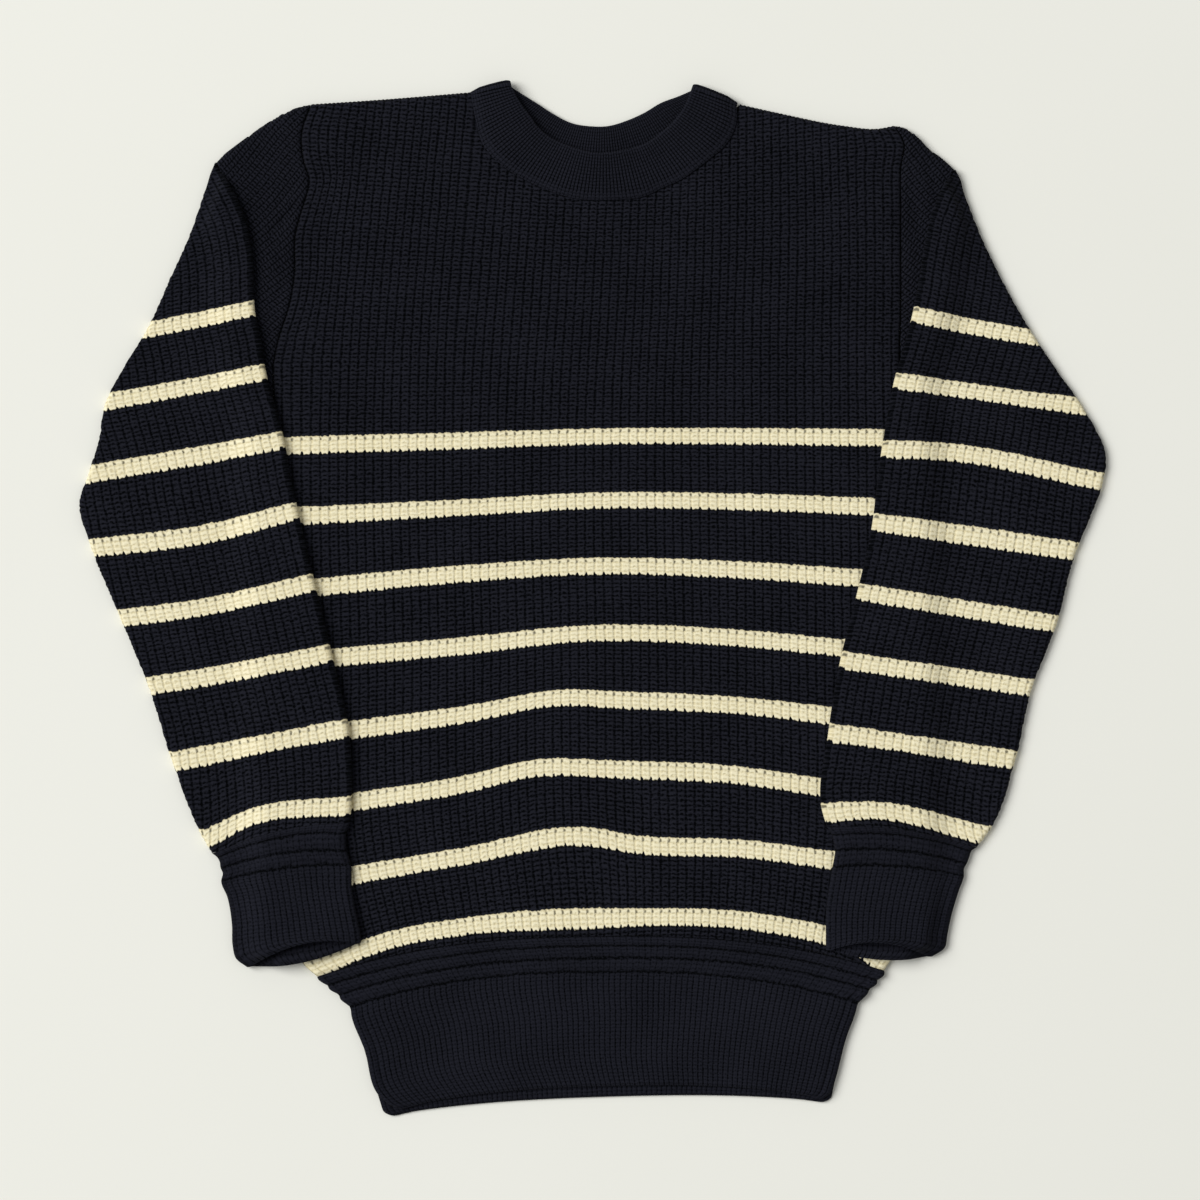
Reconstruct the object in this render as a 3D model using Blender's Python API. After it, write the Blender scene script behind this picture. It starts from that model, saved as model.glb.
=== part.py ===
"""Crewneck sweater in heavy ribbed wool, laid flat face up with its sleeves folded down over its front.

Each piece is a wall of real thickness that stays open where the garment is open. Lengths in the tables
are millimetres, turned to metres when a mesh is made. X runs across the body, +X to the viewer's right,
+Y runs from the hem to the neck, and Z is the height above the surface that the back lies on. For a
sleeve, "out" is the distance from the body's centre line, so one function makes both sides.
"""

import bpy
import bmesh
import numpy as np

MM = 0.001

# Cloth. The layers of the laid garment lie on each other, so their middles are one pitch apart.
WALL = 2.8
PITCH = 3.3
LAYER = [WALL / 2, WALL / 2 + PITCH]  # middles of the two lowest layers: back and front, or a sleeve's two
LIFT = 2 * PITCH  # what a sleeve climbs to lie over the body
FOLD_RADIUS = PITCH / 2
FOLD_REACH = FOLD_RADIUS + WALL / 2  # from a fold's centre line to its outer face
SEAM_GAP = 0.3
FOLD_STEPS = 4

# Knit ribs. A groove parts each rib from the next; the inside of a wall is plain.
BODY_RIBS = 72
SLEEVE_RIBS = 24
HEM_RIBS = 84
CUFF_RIBS = 20
RIB_DEPTH = 0.9
BAND_RIB_DEPTH = 0.6
PANEL_RIBS_PER_FACE = 4  # ribs over each face of a plain inside
SLEEVE_RIBS_PER_FACE = 2
WELT_RISE, WELT_DIP = 1.3, -0.6
EDGE_ROUND = 1.4  # how far a panel's outer face turns down at a side fold

NAVY = (0.0080, 0.0090, 0.0130, 1.0)
NAVY_BAND = (0.0095, 0.0105, 0.0150, 1.0)
WOOL_ROUGHNESS = 0.95

# The body's side folds from the hem up to the underarm, and the armholes up to the shoulder tip.
# columns: x, y
LEFT_SIDE = [
    (-181, -248), (-190, -240), (-195, -228), (-198, -208), (-203, -132), (-207, -34), (-209, 65),
    (-210, 153),
]
LEFT_ARMHOLE = [
    (-210, 153), (-206, 171), (-199, 193), (-196, 211), (-195, 240), (-190, 258), (-186, 274), (-190, 288),
    (-191, 305), (-185, 324),
]
RIGHT_SIDE = [
    (191, -244), (196, -236), (200, -222), (202, -185), (204, -132), (204, -34), (203, 80), (201.5, 170),
]
RIGHT_ARMHOLE = [(201.5, 170), (202, 190), (202, 220), (202, 253), (202, 283), (204, 299), (198, 310)]

# Rows of a panel, as parts of its height: even and close round the armhole.
PANEL_ROWS = [0.0, 0.035, 0.1, 0.4, 0.7, 0.75, 0.8, 0.85, 0.9, 0.95, 1.0]
ARMHOLE_ROW = 4  # the row at the underarm; the armhole goes on to the shoulder tip
BACK_COLUMNS = 32
NECK_POINTS = (-80, 97)
NECK_MARGIN = 12  # beside the neck points, where the plain inside still has a column for every rib

# Shoulders and neckline of the front, left to right. columns: x, y
FRONT_TOP = [
    (-185, 324), (-140, 327), (-79, 332), (-76.5, 314), (-72, 299), (-64, 289), (-54, 281.5),
    (-43, 274.5), (-31, 269), (-19, 265), (-7, 262.5), (7, 262), (20, 262.5), (34, 264.5),
    (45, 269.5), (57, 275), (68, 282), (77, 289), (85, 296), (91, 304), (94, 315), (96, 324),
    (123, 318), (164, 310), (187, 308), (198, 310),
]
# The same for the back, whose neckline is shallow and hidden. columns: x, y
BACK_TOP = [
    (-185, 324), (-140, 327), (-79, 332), (-68, 311), (-52, 296), (-30, 285), (-2, 280), (28, 283),
    (57, 294), (80, 309), (96, 324), (123, 318), (164, 310), (187, 308), (198, 310),
]

# Neckband, left to right: the seam that joins it to the body, and its free edge. columns: x, y
FRONT_SEAM = [
    (-75, 330), (-73.5, 315), (-69, 300), (-62, 291), (-53, 283.5), (-42, 277), (-30, 271.5),
    (-19, 267.5), (-7, 265), (7, 264.5), (20, 265), (33, 267), (44, 272), (56, 277.5), (66, 284.5),
    (75, 291.5), (82.5, 298), (88, 306), (91, 316), (91, 324),
]
FRONT_FREE = [
    (-53, 336), (-48, 325.5), (-41, 316), (-35, 308), (-26, 301), (-14, 296), (-4, 293), (7, 292),
    (20, 294), (34, 298), (44, 305), (53, 313), (60, 323), (66, 335),
]
BACK_SEAM = [
    (-75, 330), (-65, 313), (-50, 298.5), (-29, 288), (-2, 283), (27, 286), (55, 297), (77, 311), (91, 324),
]
BACK_FREE = [
    (-53, 336), (-44, 329.5), (-36, 324.5), (-26, 318), (-14, 312), (-2, 310), (9, 310), (23, 314),
    (34, 319), (44, 325), (58, 331), (66, 335),
]
# The band is knitted double and folded in half, so it is fuller in the middle. columns: part of the
# way from the seam to the free edge, half thickness, height of the back's middle, of the front's middle
NECKBAND_SECTION = [
    (0.0, 1.4, 1.4, 4.7), (0.14, 2.0, 2.0, 6.5), (0.4, 2.3, 2.3, 7.4), (0.72, 2.3, 2.3, 7.4),
    (0.92, 1.7, 2.3, 7.4), (1.0, 0.9, 2.3, 7.4),
]
NECKBAND_COLUMNS = 19

# Hem. Three welts run above a ribbed band. columns: left x, left y, right x, right y, rise of the row's
# middle above the line between its ends, height over the plain wall
HEM_ROWS = [
    (-181.0, -248.3, 191.0, -244.3, 24.5, 0.0),
    (-177.5, -251.0, 189.0, -247.5, 24.5, WELT_RISE),
    (-174.0, -254.0, 186.5, -250.5, 24.5, WELT_DIP),
    (-170.5, -257.0, 184.0, -253.5, 24.0, WELT_RISE),
    (-166.5, -260.0, 181.0, -256.5, 22.5, WELT_DIP),
    (-163.5, -263.5, 178.0, -260.0, 21.5, WELT_RISE),
    (-159.5, -268.0, 174.0, -265.5, 22.0, WELT_DIP),
    (-158.5, -274.0, 172.5, -271.0, 22.0, 0.3),
    (-150.0, -296.0, 166.0, -289.0, 19.0, 0.0),
    (-141.5, -325.0, 159.0, -316.0, 16.0, 0.0),
]
FRONT_HEM_END = (-131.0, -335.0, 155.0, -328.0, 12.0, 0.0)
BACK_HEM_END = (-137.0, -339.5, 156.0, -330.5, 8.0, 0.0)
FIRST_BAND_ROW = 7
HEM_ROW_FLATNESS = 2.5
WELT_END = 0.12  # part of the width over which a welt rises from the side fold

# Sleeves, laid over the body. "crown" is the top edge from the shoulder to the fold's upper end, and
# "crown_below" goes on to the first station; "fold" is the edge that lies over the sleeve's own cap, and
# over the body past the underarm. columns: out, up
# Stations run on down to the cuff's mouth, and the cuff starts at row "cuff_from". columns: outer out,
# outer up, inner out, inner up, rise of the top's middle, rise of the under's middle, height over plain
SLEEVES = {
    "left": dict(
        side=-1,
        crown=[(190, 323), (200, 319.5), (215, 311), (231, 299), (246, 285)],
        crown_below=[
            (246, 285), (256, 262), (266, 236), (278, 209), (290, 181), (305, 157), (320, 128), (333, 81),
        ],
        fold=[
            (246, 285), (235, 266), (229, 253), (225, 236), (223, 220), (221, 193), (217, 168),
            (214, 153), (210, 137),
        ],
        below_underarm=(208, 124),
        cuff_from=7,
        stations=[
            (333.0, 81.0, 202.0, 103.0, 0, 0, 0.0),
            (338.8, 60.0, 198.0, 80.0, -2, -2, 0.0),
            (331.0, 33.0, 193.0, 57.0, -4, -4, 0.0),
            (310.0, -13.0, 182.0, 10.0, -3, -3, 0.0),
            (292.0, -57.0, 171.0, -36.0, -1, -1, 0.0),
            (276.0, -107.0, 160.0, -85.0, 1, 1, 0.0),
            (256.0, -157.0, 158.0, -134.0, 6, 6, 0.0),
            (250.0, -167.0, 159.0, -146.0, 5, 5, 0.0),
            (247.5, -170.5, 161.5, -151.0, 5, 5, WELT_RISE),
            (245.5, -173.5, 162.5, -156.0, 4, 4, WELT_DIP),
            (244.0, -177.0, 162.5, -161.0, 4, 4, WELT_RISE),
            (243.0, -180.5, 161.0, -167.0, 4, 4, WELT_DIP),
            (244.0, -185.0, 158.5, -173.0, 3, 3, 0.3),
            (240.0, -196.0, 158.0, -188.0, 2, 2, 0.0),
            (237.0, -214.0, 155.0, -206.0, 1, 0, 0.0),
            (236.0, -233.0, 152.0, -225.0, 1, -12, 0.0),
        ],
    ),
    "right": dict(
        side=1,
        crown=[(201, 310), (212, 303.5), (220, 295), (229, 289), (237, 282)],
        crown_below=[
            (237, 282), (244, 262), (252, 245), (262, 222), (275, 196), (290, 170), (308, 144), (338, 91),
        ],
        fold=[
            (237, 282), (226, 266), (222, 253), (219, 239), (215, 223), (213, 206), (208, 181),
            (206, 169), (203, 154),
        ],
        below_underarm=(199, 137),
        cuff_from=7,
        stations=[
            (338.0, 91.0, 191.0, 112.0, -3, -3, 0.0),
            (334.0, 76.0, 189.0, 98.0, -3, -3, 0.0),
            (318.0, 31.0, 183.0, 50.0, -3, -3, 0.0),
            (304.0, -17.0, 173.0, 4.0, -2, -2, 0.0),
            (288.0, -59.0, 162.0, -40.0, 0, 0, 0.0),
            (277.0, -106.0, 154.0, -88.0, 2, 2, 0.0),
            (259.0, -154.0, 150.0, -139.0, 6, 6, 0.0),
            (252.0, -163.0, 153.0, -149.0, 5, 5, 0.0),
            (249.5, -167.0, 154.5, -154.5, 5, 5, WELT_RISE),
            (247.0, -170.5, 157.0, -159.5, 4, 4, WELT_DIP),
            (245.0, -174.0, 159.0, -164.5, 4, 4, WELT_RISE),
            (243.5, -177.5, 158.5, -170.0, 4, 4, WELT_DIP),
            (243.5, -181.5, 157.0, -176.0, 3, 3, 0.3),
            (240.0, -192.0, 155.0, -187.0, 2, 2, 0.0),
            (235.0, -209.0, 152.5, -206.0, 1, 0, 0.0),
            (231.0, -229.0, 152.5, -228.0, 1, -8, 0.0),
        ],
    ),
}
WELT_ROWS_OF_CUFF = 6
LOWER_ROWS = 9  # from the first station to the cuff
ROWS_BELOW_FOLD = 4
CAP_PARTS = [0.0, 0.5]  # rows of the cap, as parts of the way from the armhole to the fold's foot
STEP_PARTS = [0.0, 0.35, 0.7, 1.0]  # rows of the step where the sleeve's top folds over the cap
STEP_WIDTH = 5.0
UNDERARM_PARTS = [0.0, 0.1, 0.2, 0.46, 0.73, 1.0]  # the same rows along the inner fold below the underarm
# The fold's turn round the underarm, a row for each row of the cap. columns: drop, degrees that it faces
UNDERARM_TURN = [(0, 90), (0.5, 110), (2, 135)]
STEP_ENDS = (0.1, 0.83)  # the top climbs from the outer fold before the first; the under layer after the last
ROLL = 8.0  # how far the folded top stays up beyond the fold
UNDER_RAMP, TOP_RAMP = 12.0, 24.0  # widths over which the under and top layers climb onto the body
RAMP_COLUMNS = [1.0, 0.65, 0.35, 0.0]  # the under layer's columns, as parts of its ramp
LEAST_COLUMN = 0.02  # least distance of such columns from each other and from the fold, as part of the row
RAMP_CLEAR = 1.5
CUFF_CORNER = -132.0  # below this height the ramps keep clear of the body's rounded lower corner


def ease(t):
    """Smooth step from 0 to 1 with level ends."""
    t = np.clip(t, 0.0, 1.0)
    return t * t * (3 - 2 * t)


def through(points, t):
    """A smooth curve through the rows of a table, at parts t (0 to 1) of its length."""
    points = np.asarray(points, float)
    steps = np.linalg.norm(np.diff(points[:, :2], axis=0), axis=1)
    knots = np.concatenate([[0.0], np.cumsum(steps)])
    slopes = np.gradient(points, knots, axis=0)
    at = np.asarray(t, float) * knots[-1]
    k = np.clip(np.searchsorted(knots, at, side="right") - 1, 0, len(knots) - 2)
    gap = (knots[k + 1] - knots[k])[..., None]
    s = (at - knots[k])[..., None] / gap
    return (
        (1 + 2 * s) * (1 - s) ** 2 * points[k]
        + s * (1 - s) ** 2 * gap * slopes[k]
        + s * s * (3 - 2 * s) * points[k + 1]
        + s * s * (s - 1) * gap * slopes[k + 1]
    )


def beside(path, side):
    """Unit normals of a path in plan, on its left (side 1) or its right (side -1)."""
    along = np.gradient(path, axis=0)
    along /= np.linalg.norm(along, axis=1, keepdims=True)
    return side * np.stack([-along[:, 1], along[:, 0]], axis=1)


def add_material(name, colour):
    material = bpy.data.materials.new(name)
    material.use_nodes = True
    shader = material.node_tree.nodes["Principled BSDF"]
    shader.inputs["Base Color"].default_value = colour
    shader.inputs["Roughness"].default_value = WOOL_ROUGHNESS
    shader.inputs["Metallic"].default_value = 0.0
    material.diffuse_color = colour
    return material


def add_wall(name, outer, inner, kept, ring, ribbed, colour):
    """One closed wall: its outer and inner faces are grids of rows and columns, joined along their rims.

    kept names the outer column over each column of the plain inside, which needs fewer of them. A row
    that isn't ribbed has only those columns on its outer face too.
    """
    rows, columns = outer.shape[:2]
    mesh = bmesh.new()
    skin = [
        {c: mesh.verts.new(outer[i, c] * MM) for c in (range(columns) if ribbed[i] else kept)}
        for i in range(rows)
    ]
    lining = [{c: mesh.verts.new(p * MM) for c, p in zip(kept, row)} for row in inner]
    stops = kept + [columns] if ring else kept

    def join(low, high):
        for first, last in zip(stops[:-1], stops[1:]):
            span = [c % columns for c in range(first, last + 1)]
            a, b = ([row[c] for c in span if c in row] for row in (low, high))
            if len(a) == len(b):
                for j in range(len(a) - 1):
                    mesh.faces.new((a[j], a[j + 1], b[j + 1], b[j]))
            else:
                mesh.faces.new(a + b[::-1])

    for grid in (skin, lining):
        for low, high in zip(grid[:-1], grid[1:]):
            join(low, high)
    join(skin[0], lining[0])
    join(skin[-1], lining[-1])
    if not ring:
        for c in (kept[0], kept[-1]):
            for i in range(rows - 1):
                mesh.faces.new((skin[i][c], skin[i + 1][c], lining[i + 1][c], lining[i][c]))
    bmesh.ops.recalc_face_normals(mesh, faces=mesh.faces)
    data = bpy.data.meshes.new(name)
    mesh.to_mesh(data)
    mesh.free()
    data.materials.append(add_material("wool_" + name, colour))
    data.shade_smooth()
    data.set_sharp_from_angle(angle=np.radians(40))
    collection.objects.link(bpy.data.objects.new(name, data))


def panel_edge(side, armhole):
    """A side edge of the body panels: its points at the panel's rows."""
    rows = np.array(PANEL_ROWS)
    underarm = rows[ARMHOLE_ROW]
    low = through(side, rows[:ARMHOLE_ROW] / underarm)
    return np.concatenate([low, through(armhole, (rows[ARMHOLE_ROW:] - underarm) / (1 - underarm))])


def panel_grid(foot, top, columns):
    """Plan points of a body panel between its two side edges, its foot line and its top line."""
    u, v = np.linspace(0, 1, columns), np.array(PANEL_ROWS)
    top_x = top[0][0] + (top[-1][0] - top[0][0]) * u
    upper = np.stack([top_x, np.interp(top_x, *np.array(top, float).T)], axis=1)
    lower = foot(u)
    left_side, right_side = panel_edge(LEFT_SIDE, LEFT_ARMHOLE), panel_edge(RIGHT_SIDE, RIGHT_ARMHOLE)
    u, v = u[None, :, None], v[:, None, None]
    ruled = (1 - v) * lower[None] + v * upper[None]
    sides = (1 - u) * left_side[:, None] + u * right_side[:, None]
    corners = (1 - v) * ((1 - u) * lower[0] + u * lower[-1]) + v * ((1 - u) * upper[0] + u * upper[-1])
    return ruled + sides - corners


def hem_row(row, u):
    """Plan points of one row of the hem at parts u of its width: level in the middle, falling at the ends."""
    x0, y0, x1, y1, rise, _ = row
    arch = 1 - np.abs(2 * u - 1) ** HEM_ROW_FLATNESS
    return np.stack([x0 + (x1 - x0) * u, y0 + (y1 - y0) * u + rise * arch], axis=1)


def panel_foot(u):
    """The line where a body panel meets the hem, one seam gap above the hem's first row."""
    return hem_row(HEM_ROWS[0], u) + (0, SEAM_GAP)


def rib_grooves(columns, depth):
    """Depth of the groove at each column: ribs two columns wide, none at the panel's ends."""
    groove = np.where(np.arange(columns) % 2 == 0, depth, 0.0)
    groove[[0, -1]] = 0.0
    return groove


def with_height(plan, height):
    return np.concatenate([plan, np.broadcast_to(height, plan.shape[:2])[..., None]], axis=2)


def every(columns, step):
    return list(range(0, columns, step))


def add_panel(name, plan, turned, relief, ribbed):
    """A flat panel: the front's ribs stand over the back, whose plain outer face rests on the surface."""
    columns = plan.shape[1]
    if name.endswith("front"):
        low, high = NECK_POINTS[0] - NECK_MARGIN, NECK_POINTS[1] + NECK_MARGIN
        fine = (name == "front") & (plan[-1, :, 0] > low) & (plan[-1, :, 0] < high)
        kept = [c for c in range(0, columns, 2) if fine[c] or c % (2 * PANEL_RIBS_PER_FACE) == 0]
        outer = with_height(plan, PITCH + WALL - turned + relief * (turned == 0))
        inner = with_height(plan[:, kept], PITCH)
    else:
        kept = every(columns, 2)
        outer = with_height(plan, turned)
        inner = with_height(plan[:, kept], WALL)
    add_wall(name, outer, inner, kept, False, ribbed, NAVY_BAND if name.startswith("hem") else NAVY)


def make_body():
    """Front and back: two knitted panels that lie on each other and meet at the side folds."""
    for name, top, columns in (("front", FRONT_TOP, 2 * BODY_RIBS + 1), ("back", BACK_TOP, BACK_COLUMNS + 1)):
        plan = panel_grid(panel_foot, top, columns)
        turned = np.zeros(plan.shape[:2])
        turned[:, [0, -1]] = EDGE_ROUND
        neck = (plan[-1, :, 0] > NECK_POINTS[0]) & (plan[-1, :, 0] < NECK_POINTS[1])
        turned[-1, ~neck] = EDGE_ROUND
        add_panel(name, plan, turned, -rib_grooves(columns, RIB_DEPTH), [name == "front"] * len(plan))


def make_hem():
    """Hem of each panel: three welts and a ribbed band, knitted on below the body."""
    for name, end, columns in (
        ("hem_rib_front", FRONT_HEM_END, 2 * HEM_RIBS + 1),
        ("hem_rib_back", BACK_HEM_END, BACK_COLUMNS + 1),
    ):
        table = HEM_ROWS + [end]
        u = np.linspace(0, 1, columns)
        plan = np.stack([hem_row(row, u) for row in table])
        turned = np.zeros(plan.shape[:2])
        turned[:, [0, -1]] = EDGE_ROUND
        turned[-1] = EDGE_ROUND
        ribbed = np.arange(len(table)) >= FIRST_BAND_ROW
        rise = np.array([row[5] for row in table])[:, None] * ease(np.minimum(u, 1 - u) / WELT_END)
        relief = rise - rib_grooves(columns, BAND_RIB_DEPTH) * ribbed[:, None]
        add_panel(name, plan, turned, relief, ribbed & name.endswith("front"))


def make_collar():
    """Neckband: a ring of doubled rib, its front over its back, turning over at the two neck points."""
    u = np.linspace(0, 1, NECKBAND_COLUMNS)
    turn = np.radians(np.linspace(0, 180, FOLD_STEPS + 1))[1:-1]
    part, half, back_rise, front_rise = np.array(NECKBAND_SECTION).T
    part = part[:, None, None]
    front = through(FRONT_SEAM, u)[None] * (1 - part) + through(FRONT_FREE, u)[None] * part
    back = through(BACK_SEAM, u)[None] * (1 - part) + through(BACK_FREE, u)[None] * part
    radius = (front_rise - back_rise) / 2
    middle = (front_rise + back_rise) / 2

    def turned_over(seam, free, side):
        """The band's fold: a half round about the line from the seam to the free edge."""
        line = np.subtract(free, seam) / np.linalg.norm(np.subtract(free, seam))
        away = side * np.array([line[1], -line[0]])
        centre = np.asarray(seam) * (1 - part[:, 0]) + np.asarray(free) * part[:, 0]
        angles = turn if side > 0 else turn[::-1]
        normal = np.stack(
            [np.sin(angles) * away[0], np.sin(angles) * away[1], np.cos(angles)], axis=1
        )[None]
        core = with_height(np.repeat(centre[:, None], len(turn), axis=1), middle[:, None])
        return core + radius[:, None, None] * normal, np.repeat(normal, len(half), axis=0)

    right, right_normal = turned_over(FRONT_SEAM[-1], FRONT_FREE[-1], 1)
    left, left_normal = turned_over(FRONT_SEAM[0], FRONT_FREE[0], -1)
    up = np.broadcast_to((0.0, 0.0, 1.0), (len(half), len(u), 3))
    core = np.concatenate(
        [
            with_height(front, front_rise[:, None]), right,
            with_height(back[:, ::-1], back_rise[:, None]), left,
        ],
        axis=1,
    )
    normal = np.concatenate([up, right_normal, -up, left_normal], axis=1)
    offset = half[:, None, None] * normal
    columns = every(core.shape[1], 1)
    add_wall("collar", core + offset, core - offset, columns, True, [True] * len(half), NAVY_BAND)


def body_side(cut):
    """The edge of the body that a sleeve meets, from the hem up: distances out and heights."""
    tables = (LEFT_SIDE, LEFT_ARMHOLE) if cut["side"] < 0 else (RIGHT_SIDE, RIGHT_ARMHOLE)
    points = panel_edge(*tables)
    return np.abs(points[:, 0]), points[:, 1]


def sleeve_edges(cut):
    """Centre lines of the sleeve's two long folds row by row, the way each faces, and each row's form."""
    out, up = body_side(cut)
    stations = np.array(cut["stations"], float)
    cuff = cut["cuff_from"]
    below = np.linspace(0, 1, ROWS_BELOW_FOLD + 1)[1:]
    lower = through(stations[: cuff + 1], np.linspace(0, 1, LOWER_ROWS + 1))[1:]
    lower = np.concatenate([lower, stations[cuff + 1 :]])
    head = head_parts(np.hypot(*np.subtract(cut["crown"][-1], cut["crown"][0])))
    underarm = (out[ARMHOLE_ROW] + SEAM_GAP, up[ARMHOLE_ROW])
    inside = [underarm, cut["fold"][-1], cut["below_underarm"], stations[0, 2:4]]
    outer = np.concatenate([through(cut["crown"], head), through(cut["crown_below"], below), lower[:, :2]])
    inner = [through(inside[:2], UNDERARM_PARTS), through(inside[1:], below), lower[:, 2:4]]
    inner = np.concatenate(inner)
    form = np.concatenate([np.zeros((len(head), 3)), below[:, None] * stations[0, 4:], lower[:, 4:]])
    outer_away, inner_away = beside(outer, 1), beside(inner, -1)
    for row, (drop, turn) in enumerate(UNDERARM_TURN):
        inner[row] = np.add(underarm, (SEAM_GAP, -drop))
        inner_away[row] = (np.cos(np.radians(turn)), -np.sin(np.radians(turn)))
    inner = inner - FOLD_REACH * inner_away
    return dict(
        outer=outer - FOLD_REACH * outer_away, inner=inner,
        outer_away=outer_away, inner_away=inner_away, form=form,
        head=len(head), first=len(head) + len(below), last=len(head) + len(below) + LOWER_ROWS - 1,
    )


def head_parts(length):
    """Parts of the way from the armhole to the fold for the rows of the cap and of the step."""
    foot = 1 - STEP_WIDTH / length
    return np.concatenate([np.array(CAP_PARTS) * foot, foot + np.array(STEP_PARTS) * (1 - foot)])


def armhole_line(cut, edges, part):
    """The armhole at parts of the way from the shoulder tip (0) to the underarm (1), on the panels' rows."""
    out, up = body_side(cut)
    corners = np.stack([out + SEAM_GAP, up], axis=1)[ARMHOLE_ROW:][::-1]
    corners[0] = (np.interp(edges["outer"][0, 1], up, out) + SEAM_GAP, edges["outer"][0, 1])
    corners[-1] = edges["inner"][0]
    at = part * (len(corners) - 1)
    return np.stack([np.interp(at, np.arange(len(corners)), column) for column in corners.T], axis=1)


def sleeve_plan(cut, edges, parts, layer):
    """Plan points of a sleeve layer, with a row of parts (0 outer fold, 1 inner fold) for each row."""
    outer, inner = edges["outer"], edges["inner"]
    head, first = edges["head"], edges["first"]
    fold = np.array(cut["fold"], float)
    fold = fold - FOLD_REACH * beside(fold, -1)
    fold[0], fold[-1] = outer[head - 1], inner[head - 1]
    plan = outer[:, None] * (1 - parts[..., None]) + inner[:, None] * parts[..., None]
    plan[..., 1] += edges["form"][:, layer, None] * 4 * parts * (1 - parts)
    seam = armhole_line(cut, edges, parts[0])
    line = through(fold, parts[0])
    width = np.linalg.norm(line - seam, axis=1)
    for i, share in enumerate(head_rows(width)):
        plan[i] = seam * (1 - share[:, None]) + line * share[:, None]
        plan[i] += blend_to_edges(parts[i], outer[i] - plan[i, 0], inner[i] - plan[i, -1])
    for i in range(head, first - 1):
        down = (i - head + 1) / (first - head)
        plan[i] = through(fold, parts[i]) * (1 - down) + plan[first - 1] * down
        plan[i] += blend_to_edges(parts[i], outer[i] - plan[i, 0], inner[i] - plan[i, -1])
    return plan


def head_rows(width):
    """The head's rows as parts of the way from the armhole to the fold, at each column."""
    foot = 1 - STEP_WIDTH / np.maximum(width, 2 * STEP_WIDTH)
    return [foot * part for part in CAP_PARTS] + [foot + (1 - foot) * part for part in STEP_PARTS]


def blend_to_edges(part, at_outer, at_inner):
    """A shift that brings a row's ends to the long folds and fades out towards its middle."""
    near_outer = np.clip(1 - 2 * part, 0, 1)[:, None] ** 2
    near_inner = np.clip(2 * part - 1, 0, 1)[:, None] ** 2
    return near_outer * at_outer + near_inner * at_inner


def ramp_side(cut):
    """The body's side as the sleeve's ramps see it, without its rounded lower corner."""
    out, up = body_side(cut)
    return np.where(up < CUFF_CORNER, np.interp(CUFF_CORNER, up, out), out), up


def sleeve_heights(cut, edges, plan, parts, top):
    """Heights of a sleeve layer's middle: on the floor or the cap, and lifted where it lies over the body."""
    out, up = ramp_side(cut)
    head = edges["head"]
    lift = np.zeros(parts.shape)
    step = ease(np.array(STEP_PARTS))[:, None]
    near_outer = ease(parts / STEP_ENDS[0])
    near_inner = ease((parts - STEP_ENDS[1]) / (1 - STEP_ENDS[1]))
    if top:
        fold = np.array(cut["fold"], float)
        side = up < fold[-1, 1]
        edge_up = np.concatenate([up[side], fold[::-1, 1]])
        edge_out = np.concatenate([out[side] + RAMP_CLEAR, fold[::-1, 0] + FOLD_REACH]) + ROLL
        beyond = plan[..., 0] - np.interp(plan[..., 1], edge_up, edge_out)
        lift[head:] = (ease(1 - beyond / TOP_RAMP) * near_outer)[head:]
        lift[head - len(STEP_PARTS) : head] = step * near_outer[:len(STEP_PARTS)]
        return LAYER[1] + LIFT * lift
    beyond = plan[..., 0] - np.interp(plan[..., 1], up, out) - RAMP_CLEAR
    low = plan[..., 1] < cut["fold"][-1][1]
    lift[head:] = np.where(low, ease(1 - beyond / UNDER_RAMP), near_inner)[head:]
    lift[head - len(STEP_PARTS) : head] = step * near_inner[:len(STEP_PARTS)]
    return LAYER[0] + LIFT * lift


def under_columns(cut, edges):
    """Parts across the under layer: even at the head, and below it set by the places of its ramp."""
    out, up = ramp_side(cut)
    outer, inner = edges["outer"], edges["inner"]
    edge = np.interp(inner[:, 1], up, out) + RAMP_CLEAR
    width = outer[:, 0] - inner[:, 0]
    places = edge[:, None] + UNDER_RAMP * np.array(RAMP_COLUMNS)
    ramp = 1 - (places - inner[:, :1]) / width[:, None]
    ramp = np.minimum(ramp, 1 - LEAST_COLUMN * np.arange(len(RAMP_COLUMNS), 0, -1))
    ramped = np.column_stack([0 * width, ramp[:, 0] / 2, ramp, 0 * width + 1])
    even = np.linspace(0, 1, len(PANEL_ROWS) - ARMHOLE_ROW)
    head, first = edges["head"], edges["first"]
    share = np.clip((np.arange(len(outer)) - head + 1) / (first - head), 0, 1)[:, None]
    return even * (1 - share) + ramped * share


def long_fold(edges, edge, first, last, reach, wall):
    """The fold between the layers' edges: a half round with the given reach, flattened by their distance."""
    turn = np.radians(np.linspace(0, 180, FOLD_STEPS + 1))[1:-1]
    half = (first - last)[:, None] / 2
    half = half + np.sign(half) * wall
    plan = edges[edge][:, None] + reach * edges[edge + "_away"][:, None] * np.sin(turn)[:, None]
    return np.concatenate([plan, ((first + last)[:, None] / 2 + half * np.cos(turn))[..., None]], axis=2)


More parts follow.
